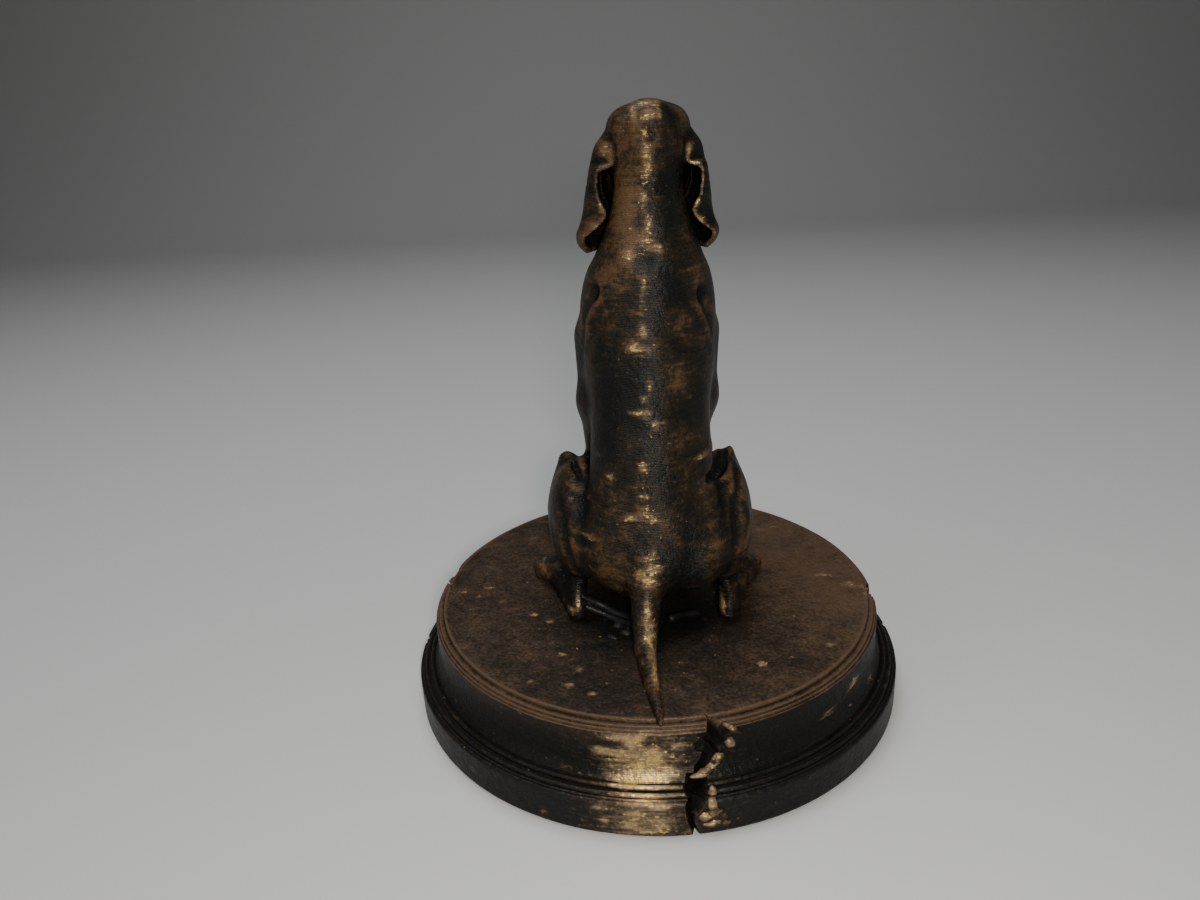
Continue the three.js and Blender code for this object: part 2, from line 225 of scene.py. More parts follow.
class Clay:
    """A distance field that grows and is cut by blending one shape after another into it."""

    REACH = 5.0  # how far outside a shape it may still be blended in

    def __init__(self, low, high, step):
        self.step = step
        self.low = np.array(low, float)
        self.axes = [np.arange(a, b, step, dtype=np.float32) for a, b in zip(low, high)]
        self.field = np.full([len(axis) for axis in self.axes], 1e3, np.float32)

    def _blend(self, low, high, distance, blend, cut):
        """Blends in a distance, or cuts by it, in the part of the grid between two corners."""
        window = tuple(
            slice(np.searchsorted(axis, a - self.REACH), np.searchsorted(axis, b + self.REACH))
            for axis, a, b in zip(self.axes, low, high)
        )
        spans = [axis[part] for axis, part in zip(self.axes, window)]
        x, y, z = np.meshgrid(*spans, indexing="ij", sparse=True)
        here, other = self.field[window], distance(x - mid_line(z), y, z)
        near = np.maximum(blend - np.abs(here + other if cut else here - other), 0) / blend
        round_off = near * near * blend / 4
        if cut:
            self.field[window] = np.maximum(here, -other) + round_off
        else:
            self.field[window] = np.minimum(here, other) - round_off

    def put(self, shape, blend=1, cut=False):
        """Blends in a shape whose points are [left, towards the tail, up] with left as a signed value."""
        drift = [mid_line(shape.low[2]), mid_line(shape.high[2])]
        low = shape.low + [min(drift), 0, 0]
        high = shape.high + [max(drift), 0, 0]
        self._blend(low, high, shape.distance, blend, cut)

    def pair(self, shape, blend=1, cut=False):
        """Blends in a shape on the hound's left and its mirror image on the right."""
        mirrored = lambda left, y, z: shape.distance(np.abs(left), y - set_back(left, z), z)
        near, far = shape.low[0], shape.high[0]
        at_middle = near < self.REACH + abs(mid_line(HOUND_TOP))
        for a, b in [(-far, far)] if at_middle else [(near, far), (-far, -near)]:
            low = (a + mid_line(HOUND_TOP), *shape.low[1:])
            high = (b + mid_line(0), shape.high[1] + RIGHT_HIND_SET_BACK, shape.high[2])
            self._blend(low, high, mirrored, blend, cut)

    def sample(self, points):
        """The field at some points, between the grid's own."""
        at = (np.asarray(points, float) - self.low) / self.step
        base = np.clip(np.floor(at).astype(int), 0, np.array(self.field.shape) - 2)
        part = at - base
        total = 0
        for corner in np.ndindex(2, 2, 2):
            weight = np.prod(np.where(corner, part, 1 - part), axis=-1)
            total = total + weight * self.field[tuple((base + corner).T)]
        return total

    def slope(self, points):
        """Unit vectors that point straight out of the surface near some points."""
        points = np.asarray(points, float)
        steps = np.eye(3) * self.step
        out = np.stack([self.sample(points + s) - self.sample(points - s) for s in steps], axis=-1)
        return out / (np.linalg.norm(out, axis=-1, keepdims=True) + 1e-9)

    def on_skin(self, points, lift):
        """The same points moved straight in or out, to stand a little above the surface or under it."""
        at = np.array([(x + mid_line(z), y, z) for x, y, z in points], float)
        for _ in range(6):
            at -= self.slope(at) * (self.sample(at) - lift)[:, None]
        return [(x - mid_line(z), y, z) for x, y, z in at]

    def ridge(self, points, radius, lift, blend=0.6, cut=False):
        """Raises a soft line along the surface, or presses one in."""
        ends = radius * (0.5 if cut else 0.6)
        path = self.on_skin(smooth_path(points), radius - lift if cut else lift - radius)
        self.put(Limb(path, [ends, radius, radius, ends]), blend, cut)

    def crease(self, *line):
        self.ridge(*line, cut=True)

    def bump(self, point, radius, lift, blend=1, cut=False):
        (at,) = self.on_skin([point], radius - lift if cut else lift - radius)
        self.put(Mass(at, (radius, radius, radius)), blend, cut)

    def dent(self, *knob):
        self.bump(*knob, cut=True)

    def skin(self):
        """The surface where the field is zero: (points, four-sided faces)."""
        inside = self.field < 0
        cells = np.array(self.field.shape) - 1
        corners = list(np.ndindex(2, 2, 2))

        def at_corner(grid, corner):
            return grid[tuple(slice(c, c + n) for c, n in zip(corner, cells))]

        full = sum(at_corner(inside, c).astype(np.int8) for c in corners)
        mixed = (full > 0) & (full < 8)
        number = np.full(cells, -1, np.int64)
        number[mixed] = np.arange(mixed.sum())
        value = {c: at_corner(self.field, c)[mixed] for c in corners}
        total = np.zeros((mixed.sum(), 3))
        hits = np.zeros(mixed.sum())
        for a in corners:
            for axis in range(3):
                if a[axis]:
                    continue
                b = tuple(1 if i == axis else c for i, c in enumerate(a))
                crossing = (value[a] < 0) != (value[b] < 0)
                t = value[a][crossing] / (value[a][crossing] - value[b][crossing])
                total[crossing] += a
                total[crossing, axis] += t
                hits[crossing] += 1
        points = np.argwhere(mixed) + total / hits[:, None]
        points = points * self.step + self.low
        for _ in range(2):
            off = np.clip(self.sample(points), -self.step, self.step)
            points -= self.slope(points) * off[:, None] * 0.7
        faces = []
        for axis in range(3):
            u, v = (axis + 1) % 3, (axis + 2) % 3
            where = np.argwhere(np.diff(inside, axis=axis))
            at = where[:, [u, v]]
            where = where[((at > 0) & (at < cells[[u, v]])).all(1)]
            ring = []
            for du, dv in ((-1, -1), (0, -1), (0, 0), (-1, 0)):
                cell = where.copy()
                cell[:, u] += du
                cell[:, v] += dv
                ring.append(number[tuple(cell.T)])
            quads = np.stack(ring, axis=-1)
            goes_out = inside[tuple(where.T)]
            quads[~goes_out] = quads[~goes_out][:, ::-1]
            faces.append(quads)
        return points, np.concatenate(faces)

    def piece(self, name):
        points, faces = self.skin()
        points[:, 2] += SEAT
        return new_piece(name, points, faces)


# Meshes


def new_piece(name, points, faces):
    """A smooth object at the origin from points in millimetres."""
    mesh = bpy.data.meshes.new(name)
    mesh.from_pydata((np.asarray(points) * MM).tolist(), [], [tuple(int(i) for i in f) for f in faces])
    mesh.update()
    mesh.shade_smooth()
    return add_object(name, mesh)


def read(items, what, kind, across):
    """One property of all of a mesh's points, edges or normals, a row for each."""
    flat = np.empty(len(items) * across, kind)
    items.foreach_get(what, flat)
    return flat.reshape(-1, across)


def points_of(mesh):
    return read(mesh.vertices, "co", np.float32, 3).astype(float) / MM


def relax(values, edges, passes):
    """Evens out values over the mesh, each point taking the mean of its neighbours."""
    ends, others = np.concatenate([edges, edges[:, ::-1]]).T
    count = np.maximum(np.bincount(ends, minlength=len(values)), 1)[:, None]
    for _ in range(passes):
        summed = [np.bincount(ends, column[others], len(values)) for column in values.T]
        values = 0.4 * values + 0.6 * np.stack(summed, axis=1) / count
    return values


def proudness(mesh, passes):
    """How far each point stands out from its neighbourhood, in millimetres."""
    edges = read(mesh.edges, "vertices", np.int64, 2)
    normals = read(mesh.vertex_normals, "vector", np.float32, 3)
    points = points_of(mesh)
    return ((points - relax(points, edges, passes)) * normals).sum(1)


def paint_by_points(mesh, name, values):
    layer = mesh.attributes.new(name, "FLOAT", "POINT")
    layer.data.foreach_set("value", np.asarray(values, np.float32))


# Nodes, for the finishes and for what is turned


def feed(socket, value):
    """Sets a socket, or links to it if the value is another node's output."""
    if isinstance(value, bpy.types.NodeSocket):
        socket.id_data.links.new(value, socket)
    else:
        socket.default_value = value


def add_node(tree, kind, *values, operation=None, **named):
    """A node with its inputs fed in their order, or by name."""
    node = tree.nodes.new(kind)
    if operation:
        node.operation = operation
    for socket, value in zip(node.inputs, values):
        feed(socket, value)
    for name, value in named.items():
        feed(node.inputs[name], value)
    return node


# The hound, in its own frame: [to its left, towards its tail, up], from the middle of its seat

WITHERS = (0, -3.5, 46)
POLL = (0, -5, 60.5)
ELBOW = (6.6, -4.8, 27.5)
WRIST = (5.5, -10.8, 7.5)
FORE_PAW = (5.7, -13.6, 1.7)
KNEE = (11.6, -7.2, 17.6)
HEEL = (10.2, 7.9, 2.4)
HIND_PAW = (13.4, -3.2, 1.6)
NOSE = (0, -22.4, 59)
FORE_TURN = 4  # degrees that a front paw points outwards
HIND_TURN = 24

# Masses as [shape, how softly it blends into what is there], each with its mirror image
TRUNK = [
    (Mass((0, 5.2, 10.9), (10.6, 8.6, 8.6)), 1),
    (Mass((0, 2.6, 21.5), (8.2, 8.4, 10.5), (12, 0, 0)), 5),
    (Mass((0, -2.9, 33.5), (8.85, 9.9, 12.3), (18, 0, 0)), 4),
    (Mass((0, -4.4, 42.5), (7.75, 7.8, 8.4)), 4),
    (Mass((0, -10.2, 37), (5.4, 4.6, 8), (12, 0, 0)), 4),
]

NECK = [
    (Limb((WITHERS, POLL), (6.2, 3.7)), 4),
    (Limb(((0, -8.8, 42), (0, -10, 54)), (4.8, 3)), 4),
]

HEAD = [
    (Mass((0, -7.2, 61.1), (5.15, 7.6, 5.6)), 2),
    (Mass((3.2, -6.5, 63.4), (2, 4, 2.1)), 1.5),
    (Mass((0, -0.9, 63.2), (2, 1.6, 1.9)), 2.2),
    (Limb(((0, -12, 58.9), (0, -20, 57.9)), (4, 3.1)), 2),
    (Mass((0, -18.4, 58.4), (3.1, 4.8, 2.9), (-4, 0, 0)), 1.5),
    (Mass((2.6, -12.4, 62), (2.2, 2.3, 1.5), (25, 20, 0)), 1.2),
    (Mass((3.7, -10.4, 57.4), (2.2, 4.2, 4.4)), 2),
    (Limb(((0, -11.5, 54.2), (0, -18.8, 53.6)), (2.6, 1.9)), 1.5),
    (Mass((1.9, -19.6, 55.9), (1.75, 3.3, 3.9), (-6, 0, 4)), 1.2),
    (Mass((2.6, -15.4, 55), (1.9, 3.8, 4.2), (-6, 0, 6)), 1.4),
    (Mass(NOSE, (2.2, 1.7, 1.7), (-12, 0, 0)), 0.6),
    (Mass((4.7, -6.4, 60.5), (1.6, 3.2, 1.8), (0, 20, 0)), 1),
]

FORELEG = [
    (Mass((6.4, -5.9, 39.3), (2.8, 5.6, 7.2), (14, 0, 0)), 1),
    (Limb(((6.9, -7.2, 36), ELBOW), (3.1, 2.9)), 2),
    (Limb((ELBOW, WRIST), (3, 2.1)), 2),
    (Limb((WRIST, (5.6, -12.2, 2.4)), (2.2, 2)), 1.5),
]

HIND_LEG = [
    (Mass((10, -0.3, 11.6), (4.3, 9.4, 6.9), (-26, 0, 4)), 1.2),
    (Limb((KNEE, (10.9, -3.5, 12)), (1.3, 3.2)), 1.5),
    (Limb(((11.2, -5.5, 10), HEEL), (2.7, 1.1)), 1),
    (Limb((HEEL, (10.4, 7.6, 1.3)), (1.1, 1.2)), 0.8),
    (Limb(((10.4, 7.6, 1.3), HIND_PAW), (1.3, 1.7)), 1),
]


def paw(clay, at, turn):
    """A pad, its four toes and their claws."""
    x, y, z = at
    clay.pair(Mass(at, (2.6, 2.9, 1.9), (0, 0, turn)), 1)
    outwards = Matrix.Rotation(math.radians(turn), 3, "Z")
    reach = Vector((0, -1, 0))
    reach.rotate(outwards)
    for i in range(4):
        across = (i - 1.5) * 1.3
        place = Vector((across, abs(across) * 0.35 - 2.7, 0))
        place.rotate(outwards)
        toe = (x + place.x, y + place.y, z - 0.4)
        clay.pair(Mass(toe, (0.84, 1.7, 1.4), (0, 0, turn)), 0.35)
        root = (toe[0] + reach.x * 1.2, toe[1] + reach.y * 1.2, 1)
        tip = (toe[0] + reach.x * 2.2, toe[1] + reach.y * 2.2, 0.35)
        clay.pair(Limb((root, tip), (0.42, 0.22)), 0.2)


def tail(clay):
    line = [
        (1.5, 12.2, 7.4),
        (1.9, 14.6, 3.9),
        (2.2, 17.6, 1.6),
        (2.1, 22, 1.1),
        (1.75, 27, 0.8),
        (1.35, 31.7, 0.4),
    ]
    at_seat = lambda points: [(x - mid_line(z), y, z) for x, y, z in points]
    radii = [0.4 + 1.75 * (1 - i / 10) ** 0.9 for i in range(11)]
    clay.put(Limb(at_seat([(0.7, 9.4, 11.2), (1.5, 12.3, 7.2)]), (2.7, 2.3)), 2)
    clay.put(Limb(smooth_path(at_seat(line)), radii), 0.8)


# The ears, as [up, then left and towards the tail of the rear edge, the outer fold and the front edge]
EAR_LEVELS = [
    (62.4, 4.2, -4.2, 5.3, -6, 4.8, -8.4),
    (61, 4.9, -3.4, 6.4, -6, 5.7, -9.4),
    (59.2, 4.9, -3.1, 6.9, -6.1, 5.8, -10.4),
    (58.3, 6.6, -2.8, 7.15, -6.2, 5.8, -10.9),
    (55.2, 6.6, -2.6, 7.7, -6.3, 5.4, -12),
    (53.2, 5.7, -2.6, 8, -6.5, 4.6, -12.2),
    (51.6, 6.8, -3, 8.3, -6.7, 4.6, -11.7),
    (50.3, 8.4, -3.9, 8.6, -6.9, 4.9, -10.9),
    (49, 8.4, -5.2, 8.5, -7.1, 5.4, -10),
    (48, 7.7, -6.4, 7.9, -7.2, 6.2, -8.9),
]


def ear(clay, side):
    """A leaf that hangs open towards the rear. Half its thickness goes from RIM at the edges to HALF."""
    HALF = 0.5
    RIM = 0.32
    SPACING = 0.28
    points, halves = [], []
    for up, *edges in smooth_path(EAR_LEVELS, 6):
        rear, fold, front = np.reshape(edges, (3, 2))
        knee = 2 * fold - (rear + front) / 2
        knee[1] = fold[1]
        length = np.linalg.norm(fold - rear) + np.linalg.norm(front - fold)
        count = max(int(length / SPACING), 3)
        for i in range(count + 1):
            t = i / count
            at = (1 - t) ** 2 * rear + 2 * t * (1 - t) * knee + t * t * front
            points.append((side * at[0], at[1], up))
            halves.append(RIM + (HALF - RIM) * math.sin(math.pi * t))
    clay.put(Leaf(points, halves), 0.5)


LEFT_PIT = (7.4, -0.4, 43.7)
LEFT_BLADE = [(6.4, 1.2, 43.2), (7.3, 0.2, 41.7), (8.1, -0.7, 40.2), (8.3, -0.6, 38), (8.7, -1.3, 35.5)]
RIGHT_PIT = (-6.7, 0.8, 43.2)
RIGHT_BLADE = [(-4.6, 3.1, 42.7), (-5.8, 2.3, 41.6), (-6.9, 1.5, 39.8), (-7.7, 1.1, 37.2), (-8.6, -0.6, 34.6)]


def back_relief(clay):
    """Loose skin, the skull's crest, the shoulder blades and low folds across the back."""
    clay.ridge([(1.9, -5.4, 66), (2.1, -2.7, 64.9), (2, -0.8, 63.6)], 0.9, 0, 0.9)
    clay.ridge([(-1, -4.6, 66), (-0.8, -1.5, 65.1), (-1.2, -0.1, 63.9)], 0.9, 0, 0.9)
    clay.bump((0.4, -0.5, 64.4), 1, 0.05, 1.2)
    clay.dent((0.6, 0.3, 62.6), 1.4, 0.08, 1.4)
    clay.bump((3, 1.9, 48.6), 2.4, 0.02, 1.6)
    clay.bump((-1.2, 2.4, 49.4), 2.4, 0.02, 1.6)
    clay.dent((1.1, 2.5, 48.4), 1.8, 0.05, 1.6)
    clay.ridge([(3.4, 5.2, 37.4), (1.3, 5.5, 38.6), (-1, 5.9, 37.6)], 1.6, -0.1, 1.8)
    clay.ridge([(3, 7.8, 29.5), (1, 8.4, 29.8), (-1, 8.6, 28.8)], 1.6, -0.1, 1.8)
    for up in (58.4, 57.3, 56.1, 55.1, 53.8, 52.6):
        clay.ridge([(1.4, -0.8, up + 0.2), (3.2, -1.2, up), (5, -2.2, up - 0.3)], 0.45, 0.12, 0.45)
    for side, pit, blade in ((1, LEFT_PIT, LEFT_BLADE), (-1, RIGHT_PIT, RIGHT_BLADE)):
        clay.ridge(blade, 0.9, 0.1, 1)
        clay.dent(pit, 1.2, 0.75, 0.8)
        outside = [(x + side, y - 1.5, z) for x, y, z in blade[1:]]
        clay.crease([pit, *outside], 0.9, 0.3, 0.8)


def haunch_relief(clay):
    """The pocket between each knee and the flank, and the folds where the thighs meet the rump."""
    left_slit = [(10.75, -9.6, 20.4), (10.7, -6, 19.6), (10.5, -3.6, 18.9), (10.2, -1.1, 18.6)]
    left_slit = smooth_path([*left_slit, (9.5, 1.6, 18.2)])
    clay.put(Limb(left_slit, (0.35, 0.55, 0.6, 0.35)), 0.4, cut=True)
    clay.ridge([(9.7, -8.4, 19.4), (9.5, -5, 18.9), (9.2, -1.8, 18.6)], 0.8, 0.3, 0.6)
    clay.ridge([(11.8, 0.6, 18), (10.9, 2.6, 17.4), (9.6, 4.1, 17.2), (8.4, 5.6, 17.6)], 0.7, 0.12, 0.6)
    clay.crease([(11.3, 1.9, 17), (10.4, 3.4, 16.5), (9.2, 5, 16.4)], 0.7, 0.12, 0.6)
    clay.ridge([(11.4, 6.8, 13.5), (9.4, 8.5, 13.5), (7.4, 10.6, 13.7)], 0.7, 0.12)
    clay.crease([(11.2, 6.6, 12.5), (9.4, 8.4, 12.3), (7.6, 10.4, 12.7)], 0.8, 0.14)
    left_groove = [(12.3, 1.9, 16.9), (12, 5.2, 14.7), (11.7, 7.1, 11.9), (10.8, 8, 8.5), (9.6, 8, 5.5)]
    clay.crease(left_groove, 0.8, 0.28)
    clay.ridge([(13.7, 3.6, 10.9), (12.9, 5, 8.5), (12, 5.4, 5.4)], 0.7, 0.1)
    clay.crease([(14, 2.4, 13.2), (13.3, 4.4, 10), (12.5, 5.6, 6.8)], 0.6, 0.14)
    right_pocket = [(-11.2, -8, 19.4), (-10.7, -3.5, 19.2), (-9.6, 0.4, 19), (-8.3, 4, 19.4), (-6.8, 7, 19.8)]
    clay.crease(right_pocket, 1.3, 1.35, 0.5)
    clay.ridge([(-4.9, 9, 23.1), (-6, 8, 23.4), (-7.6, 5.2, 23.2), (-8.4, 2, 23)], 0.8, 0.2)
    clay.ridge([(-11.2, -4.4, 19.3), (-11, -0.5, 18.8), (-10.5, 1.6, 18.2), (-9.4, 3.8, 17.8)], 0.6, 0.3, 0.4)
    clay.crease([(-12, -3.6, 19), (-11.8, 0.2, 18.2), (-11.4, 2.4, 17)], 0.6, 0.3, 0.4)
    right_groove = [(-12.2, 0.5, 17.6), (-11.9, 2.6, 17), (-11.1, 5.8, 15.9), (-11, 8.9, 13)]
    clay.crease([*right_groove, (-10.6, 10.1, 10.6), (-9.8, 10.3, 7.8)], 0.8, 0.32)
    clay.ridge([(-12.7, 4.7, 15.3), (-13.3, 5.8, 12.8), (-12.4, 8.4, 10.4), (-11.7, 8.6, 6.6)], 0.7, 0.12)


def face_relief(clay):
    """Eyes under heavy lids, nostrils, the split of the lips, and the folds of a bloodhound's loose skin."""
    clay.pair(Mass((4, -14.9, 60.3), (1.3, 1.3, 0.95), (0, 0, 35)), 0.5, cut=True)
    clay.pair(Mass((3.4, -14.4, 60.3), (1, 1, 0.95)), 0.15)
    upper_lid = [(2.5, -16.2, 60.5), (3.2, -15.9, 61.3), (4.1, -14.8, 61.3), (4.7, -13.5, 60.6)]
    lower_lid = [(2.5, -16.2, 60.2), (3.2, -16, 59.2), (4.1, -15, 58.9), (4.8, -13.5, 59.6)]
    folds = [
        [(1, -11.5, 65.2), (1.9, -13, 63.9), (3.4, -12.9, 62.8), (4.7, -11, 62.2)],
        [(1.6, -9.4, 66.1), (2.9, -10.4, 65.2), (4.2, -10, 64), (5.1, -8.4, 63)],
        [(4.6, -12.4, 58.6), (4.5, -13.8, 56.4), (4.1, -14.6, 53.8)],
        [(5.4, -10.2, 58.8), (5.6, -10.8, 56.2), (5, -11.6, 53.4), (3.6, -12.4, 51.4)],
        [(1.5, -13.2, 51.6), (2.1, -13.2, 48.6), (1.9, -13.8, 45), (1.2, -14.6, 41.5)],
        [(3.6, -10.9, 50.6), (4.2, -11, 47.6), (4, -12, 44), (3.2, -13.2, 40.5)],
    ]
    for side in (1, -1):
        both = lambda path: [(side * x, y, z) for x, y, z in path]
        clay.ridge(both(upper_lid), 0.42, 0.25, 0.25)
        clay.ridge(both(lower_lid), 0.42, 0.2, 0.25)
        clay.dent((side, -24.1, 59.1), 0.55, 0.5, 0.3)
        for path in folds:
            clay.ridge(both(path), 0.8, 0.16, 0.7)
    lips = [(0, -23.7, 57.6), (0, -23, 56), (0, -22.1, 54), (0, -20.8, 52.2)]
    clay.put(Limb(smooth_path(lips), (0.35, 0.55, 0.55)), 0.5, cut=True)


def model_hound():
    clay = Clay((-19.5, -27, -1), (19.5, 34.5, HOUND_TOP + 1.5), VOXEL)
    for shape, blend in (*TRUNK, *HIND_LEG, *FORELEG, *NECK, *HEAD):
        clay.pair(shape, blend)
    paw(clay, FORE_PAW, FORE_TURN)
    paw(clay, HIND_PAW, HIND_TURN)
    tail(clay)
    back_relief(clay)
    haunch_relief(clay)
    face_relief(clay)
    for side in (1, -1):
        ear(clay, side)
    clay.field = np.maximum(clay.field, -clay.axes[2])
    return clay.piece("bloodhound")


def model_strings():
    """Threads and crumbs of printing support, left under the rump."""
    clay = Clay((-7, 3, -0.4), (12, 17, 5), 0.15)
    threads = [
        [(9.7, 7.8, 3.3), (7.4, 7.7, 2), (5.4, 8.6, 1.3), (3.4, 10.2, 1.3), (1.9, 12.6, 2.4)],
        [(9.9, 8.2, 2.4), (7.6, 8.6, 1.4), (5.6, 9.4, 0.8), (3.8, 11, 0.9), (2.1, 13.4, 1.7)],
        [(-2.2, 12.2, 2), (-4, 9.8, 0.9), (-6.2, 8.6, 0.3)],
    ]
    for thread in threads:
        clay.put(Limb(smooth_path(thread), (0.5, 0.42, 0.5)), 0.15)
    for x, y, wide, long, high in (
        (6.6, 8.6, 0.35, 0.4, 0.5),
        (4.6, 10.4, 1.1, 0.6, 0.6),
        (3.9, 12.2, 0.9, 0.7, 0.5),
        (3.3, 11.2, 0.5, 0.6, 0.4),
        (5.8, 13, 0.5, 1, 0.25),
        (-4.4, 8.2, 0.6, 0.4, 0.45),
        (-2.6, 9.2, 0.5, 0.35, 0.35),
    ):
        clay.put(Mass((x, y, 0.1), (wide, long, high), (0, 0, 40 * x)), 0.4)
    return clay.piece("support_strings")


# The plinth: turned from a profile, then cracked


def arc(centre, radius, start, end, steps):
    x, y = centre
    turns = np.radians(np.linspace(start, end, steps))
    return [(x + radius * math.cos(a), y + radius * math.sin(a)) for a in turns]


# The shoulder's printed steps, as [distance from the axis, height of the step]
TERRACES = [(31.6, 12.5), (31.4, 12.9), (31.1, 13.25), (30.4, 13.7)]


def plinth_profile():
    """[distance from the axis, height] from the middle of the underside to the middle of the top."""
    top = SEAT
    profile = [(0, 0), *((r, 0) for r in np.linspace(4, 34, 9))]
    profile += arc((34.1, 0.6), 0.6, -80, 0, 5)
    profile += [(PLINTH_RADIUS, z) for z in np.linspace(1, 4.5, 9)]
    profile += arc((34.35, 4.65), 0.35, 10, 80, 4)
    profile += arc((34.12, 5.03), 0.2, -10, 140, 5)
    profile += arc((33.64, 5.36), 0.32, -60, 150, 8)
    profile += arc((32.82, 5.82), 0.32, -60, 150, 8)
    profile += [(32.42, 5.95), (32.4, 6.2), (32.3, 6.38), (32.02, 6.7), (31.82, 7.05), (31.68, 7.5)]
    profile += [(31.6, z) for z in np.linspace(8, 12.3, 10)]
    for (outer, high), (inner, _) in zip(TERRACES, TERRACES[1:]):
        profile += [(outer, high - 0.07), (outer - 0.06, high), (outer - 0.13, high)]
        profile += [(inner + 0.05, high - 0.04), (inner, high + 0.02), (inner, high + 0.12)]
    ring, _ = TERRACES[-1]
    profile += [(ring, top - 0.07), (ring - 0.06, top)]
    profile += [(r, top) for r in np.linspace(ring - 0.4, 0.5, 62)]
    profile.append((0, top))
    return profile


SPINDLE = 1.0  # radius of the circle that the profile is turned around
STEPS_AROUND = 480
UNEVENNESS = 0.06


def turning_tree(material):
    """Turns a profile about the upright axis, and gives the skin a slight unevenness."""
    tree = bpy.data.node_groups.new("turned_block", "GeometryNodeTree")
    _, around, uneven, _ = (
        tree.interface.new_socket(name, in_out=way, socket_type="NodeSocket" + kind)
        for name, way, kind in (
            ("Geometry", "INPUT", "Geometry"),
            ("Steps around", "INPUT", "Int"),
            ("Unevenness", "INPUT", "Float"),
            ("Geometry", "OUTPUT", "Geometry"),
        )
    )

    def node(kind, *values, **settings):
        return add_node(tree, "GeometryNode" + kind, *values, **settings).outputs[0]

    given = add_node(tree, "NodeGroupInput").outputs
    circle = node("CurvePrimitiveCircle", Resolution=given[1], Radius=SPINDLE * MM)
    skin = node("CurveToMesh", circle, node("MeshToCurve", given[0]))
    closed = node("FlipFaces", node("MergeByDistance", skin, Distance=0.02 * MM))
    noise = add_node(tree, "ShaderNodeTexNoise", Scale=220, Detail=3).outputs[0]
    centred = add_node(tree, "ShaderNodeMath", noise, 0.5, operation="SUBTRACT").outputs[0]
    amount = add_node(tree, "ShaderNodeMath", centred, given[2], operation="MULTIPLY").outputs[0]
    normal = node("InputNormal")
    shift = add_node(tree, "ShaderNodeVectorMath", normal, operation="SCALE", Scale=amount).outputs[0]
    real = node("RealizeInstances", node("SetPosition", closed, Offset=shift))
    add_node(tree, "NodeGroupOutput", node("SetMaterial", real, Material=material))
    return tree, around.identifier, uneven.identifier


# A crack's points are [angle in degrees, distance from the axis, height, half its width there].
CRACKS = [
    [
        (97, 29.4, 13.7, 0.08), (98, 30.4, 13.45, 0.35), (98.6, 31.1, 12.8, 1), (99.2, 31.5, 11.2, 1.6),
        (97.8, 31.7, 9.2, 1.3), (96, 31.7, 7.9, 1.2), (94.8, 32.1, 6.6, 1.5), (94, 33.2, 5.8, 1.8),
        (93.8, 34.2, 5.2, 1.7), (93.4, 34.7, 4.2, 1.4), (92.8, 34.7, 3, 1.1), (92.9, 34.7, 1.9, 0.8),
        (93.8, 34.7, 0.8, 0.8), (94.1, 34.7, -0.5, 0.7),
    ],
    [
        (178, 23.6, 13.7, 0.08), (175, 26.7, 13.7, 0.25), (174, 29.7, 13.6, 0.5), (172.5, 31.3, 12.6, 0.9),
        (175, 31.7, 9.5, 0.6), (178, 32, 6.9, 0.6), (180, 33.6, 5.8, 0.6), (180.5, 34.7, 4.6, 0.9),
        (180, 34.7, 2.2, 0.4),
    ],
    [
        (2, 27.6, 13.7, 0.05), (-3, 29.8, 13.7, 0.12), (-9, 31, 13.1, 0.35), (-12, 31.6, 11.6, 0.45),
        (-8, 31.7, 8.8, 0.4), (-5.5, 32.4, 6.6, 0.5), (-5, 34.2, 5.5, 0.7), (-5.5, 34.7, 4.4, 0.8),
        (-6.5, 34.7, 2.4, 0.4),
    ],
]

FLAKE_POINTS = 42  # of one flake's mesh
# Flakes that stand off the rear crack's edge, as [place, size, turn about Y in degrees, gold and painted
# highlight on them]
FLAKES = [
    ((-7, 31, 12.4), (1.5, 0.4, 0.35), -35, 0.5),
    ((-6.7, 31, 10.3), (0.7, 0.5, 0.9), 10, 1),
    ((-5.1, 31.4, 8.5), (1.1, 0.5, 0.6), 50, 0.8),
    ((-4.4, 31.5, 7.6), (1.4, 0.5, 0.55), 45, 0.9),
    ((-3.6, 31.7, 6.9), (1.3, 0.45, 0.5), 30, 0.7),
    ((-2.9, 31.9, 6.6), (1.3, 0.4, 0.35), 8, 0.9),
    ((-4.3, 33.6, 5.6), (0.5, 0.5, 0.9), 0, 0.8),
    ((-4.2, 34.25, 4.4), (0.7, 0.5, 1.1), 0, 1),
    ((-4.4, 34.3, 3.3), (0.9, 0.45, 1.1), 10, 0.5),
    ((-3.5, 34.4, 2.7), (1.1, 0.45, 0.9), -30, 0.8),
    ((-5.2, 34.2, 2.6), (0.9, 0.35, 1.1), 15, 0.25),
    ((-4.1, 34.3, 1.8), (1.3, 0.5, 0.8), -5, 0.9),
    ((-5.7, 34.1, 1.5), (0.8, 0.4, 0.5), 20, 0.35),
]
# Where the edges are broken out beside the cracks, in the same terms
BITES = [
    ((-5.2, 31.9, 11.4), (2.9, 1.7, 1.9), 18),
    ((30.7, -8.4, 12.6), (1.5, 2.7, 1.8), 0),
    ((34.8, -2.1, 5.3), (0.9, 1, 1.2), 0),
    ((-31.7, 2.6, 12.2), (1.4, 1.8, 1.9), 0),
    ((-34.8, -0.3, 5.3), (0.8, 0.9, 1.1), 0),
]


def on_plinth(angle, radius, height):
    turn = math.radians(angle)
    return Vector((radius * math.cos(turn), radius * math.sin(turn), height))


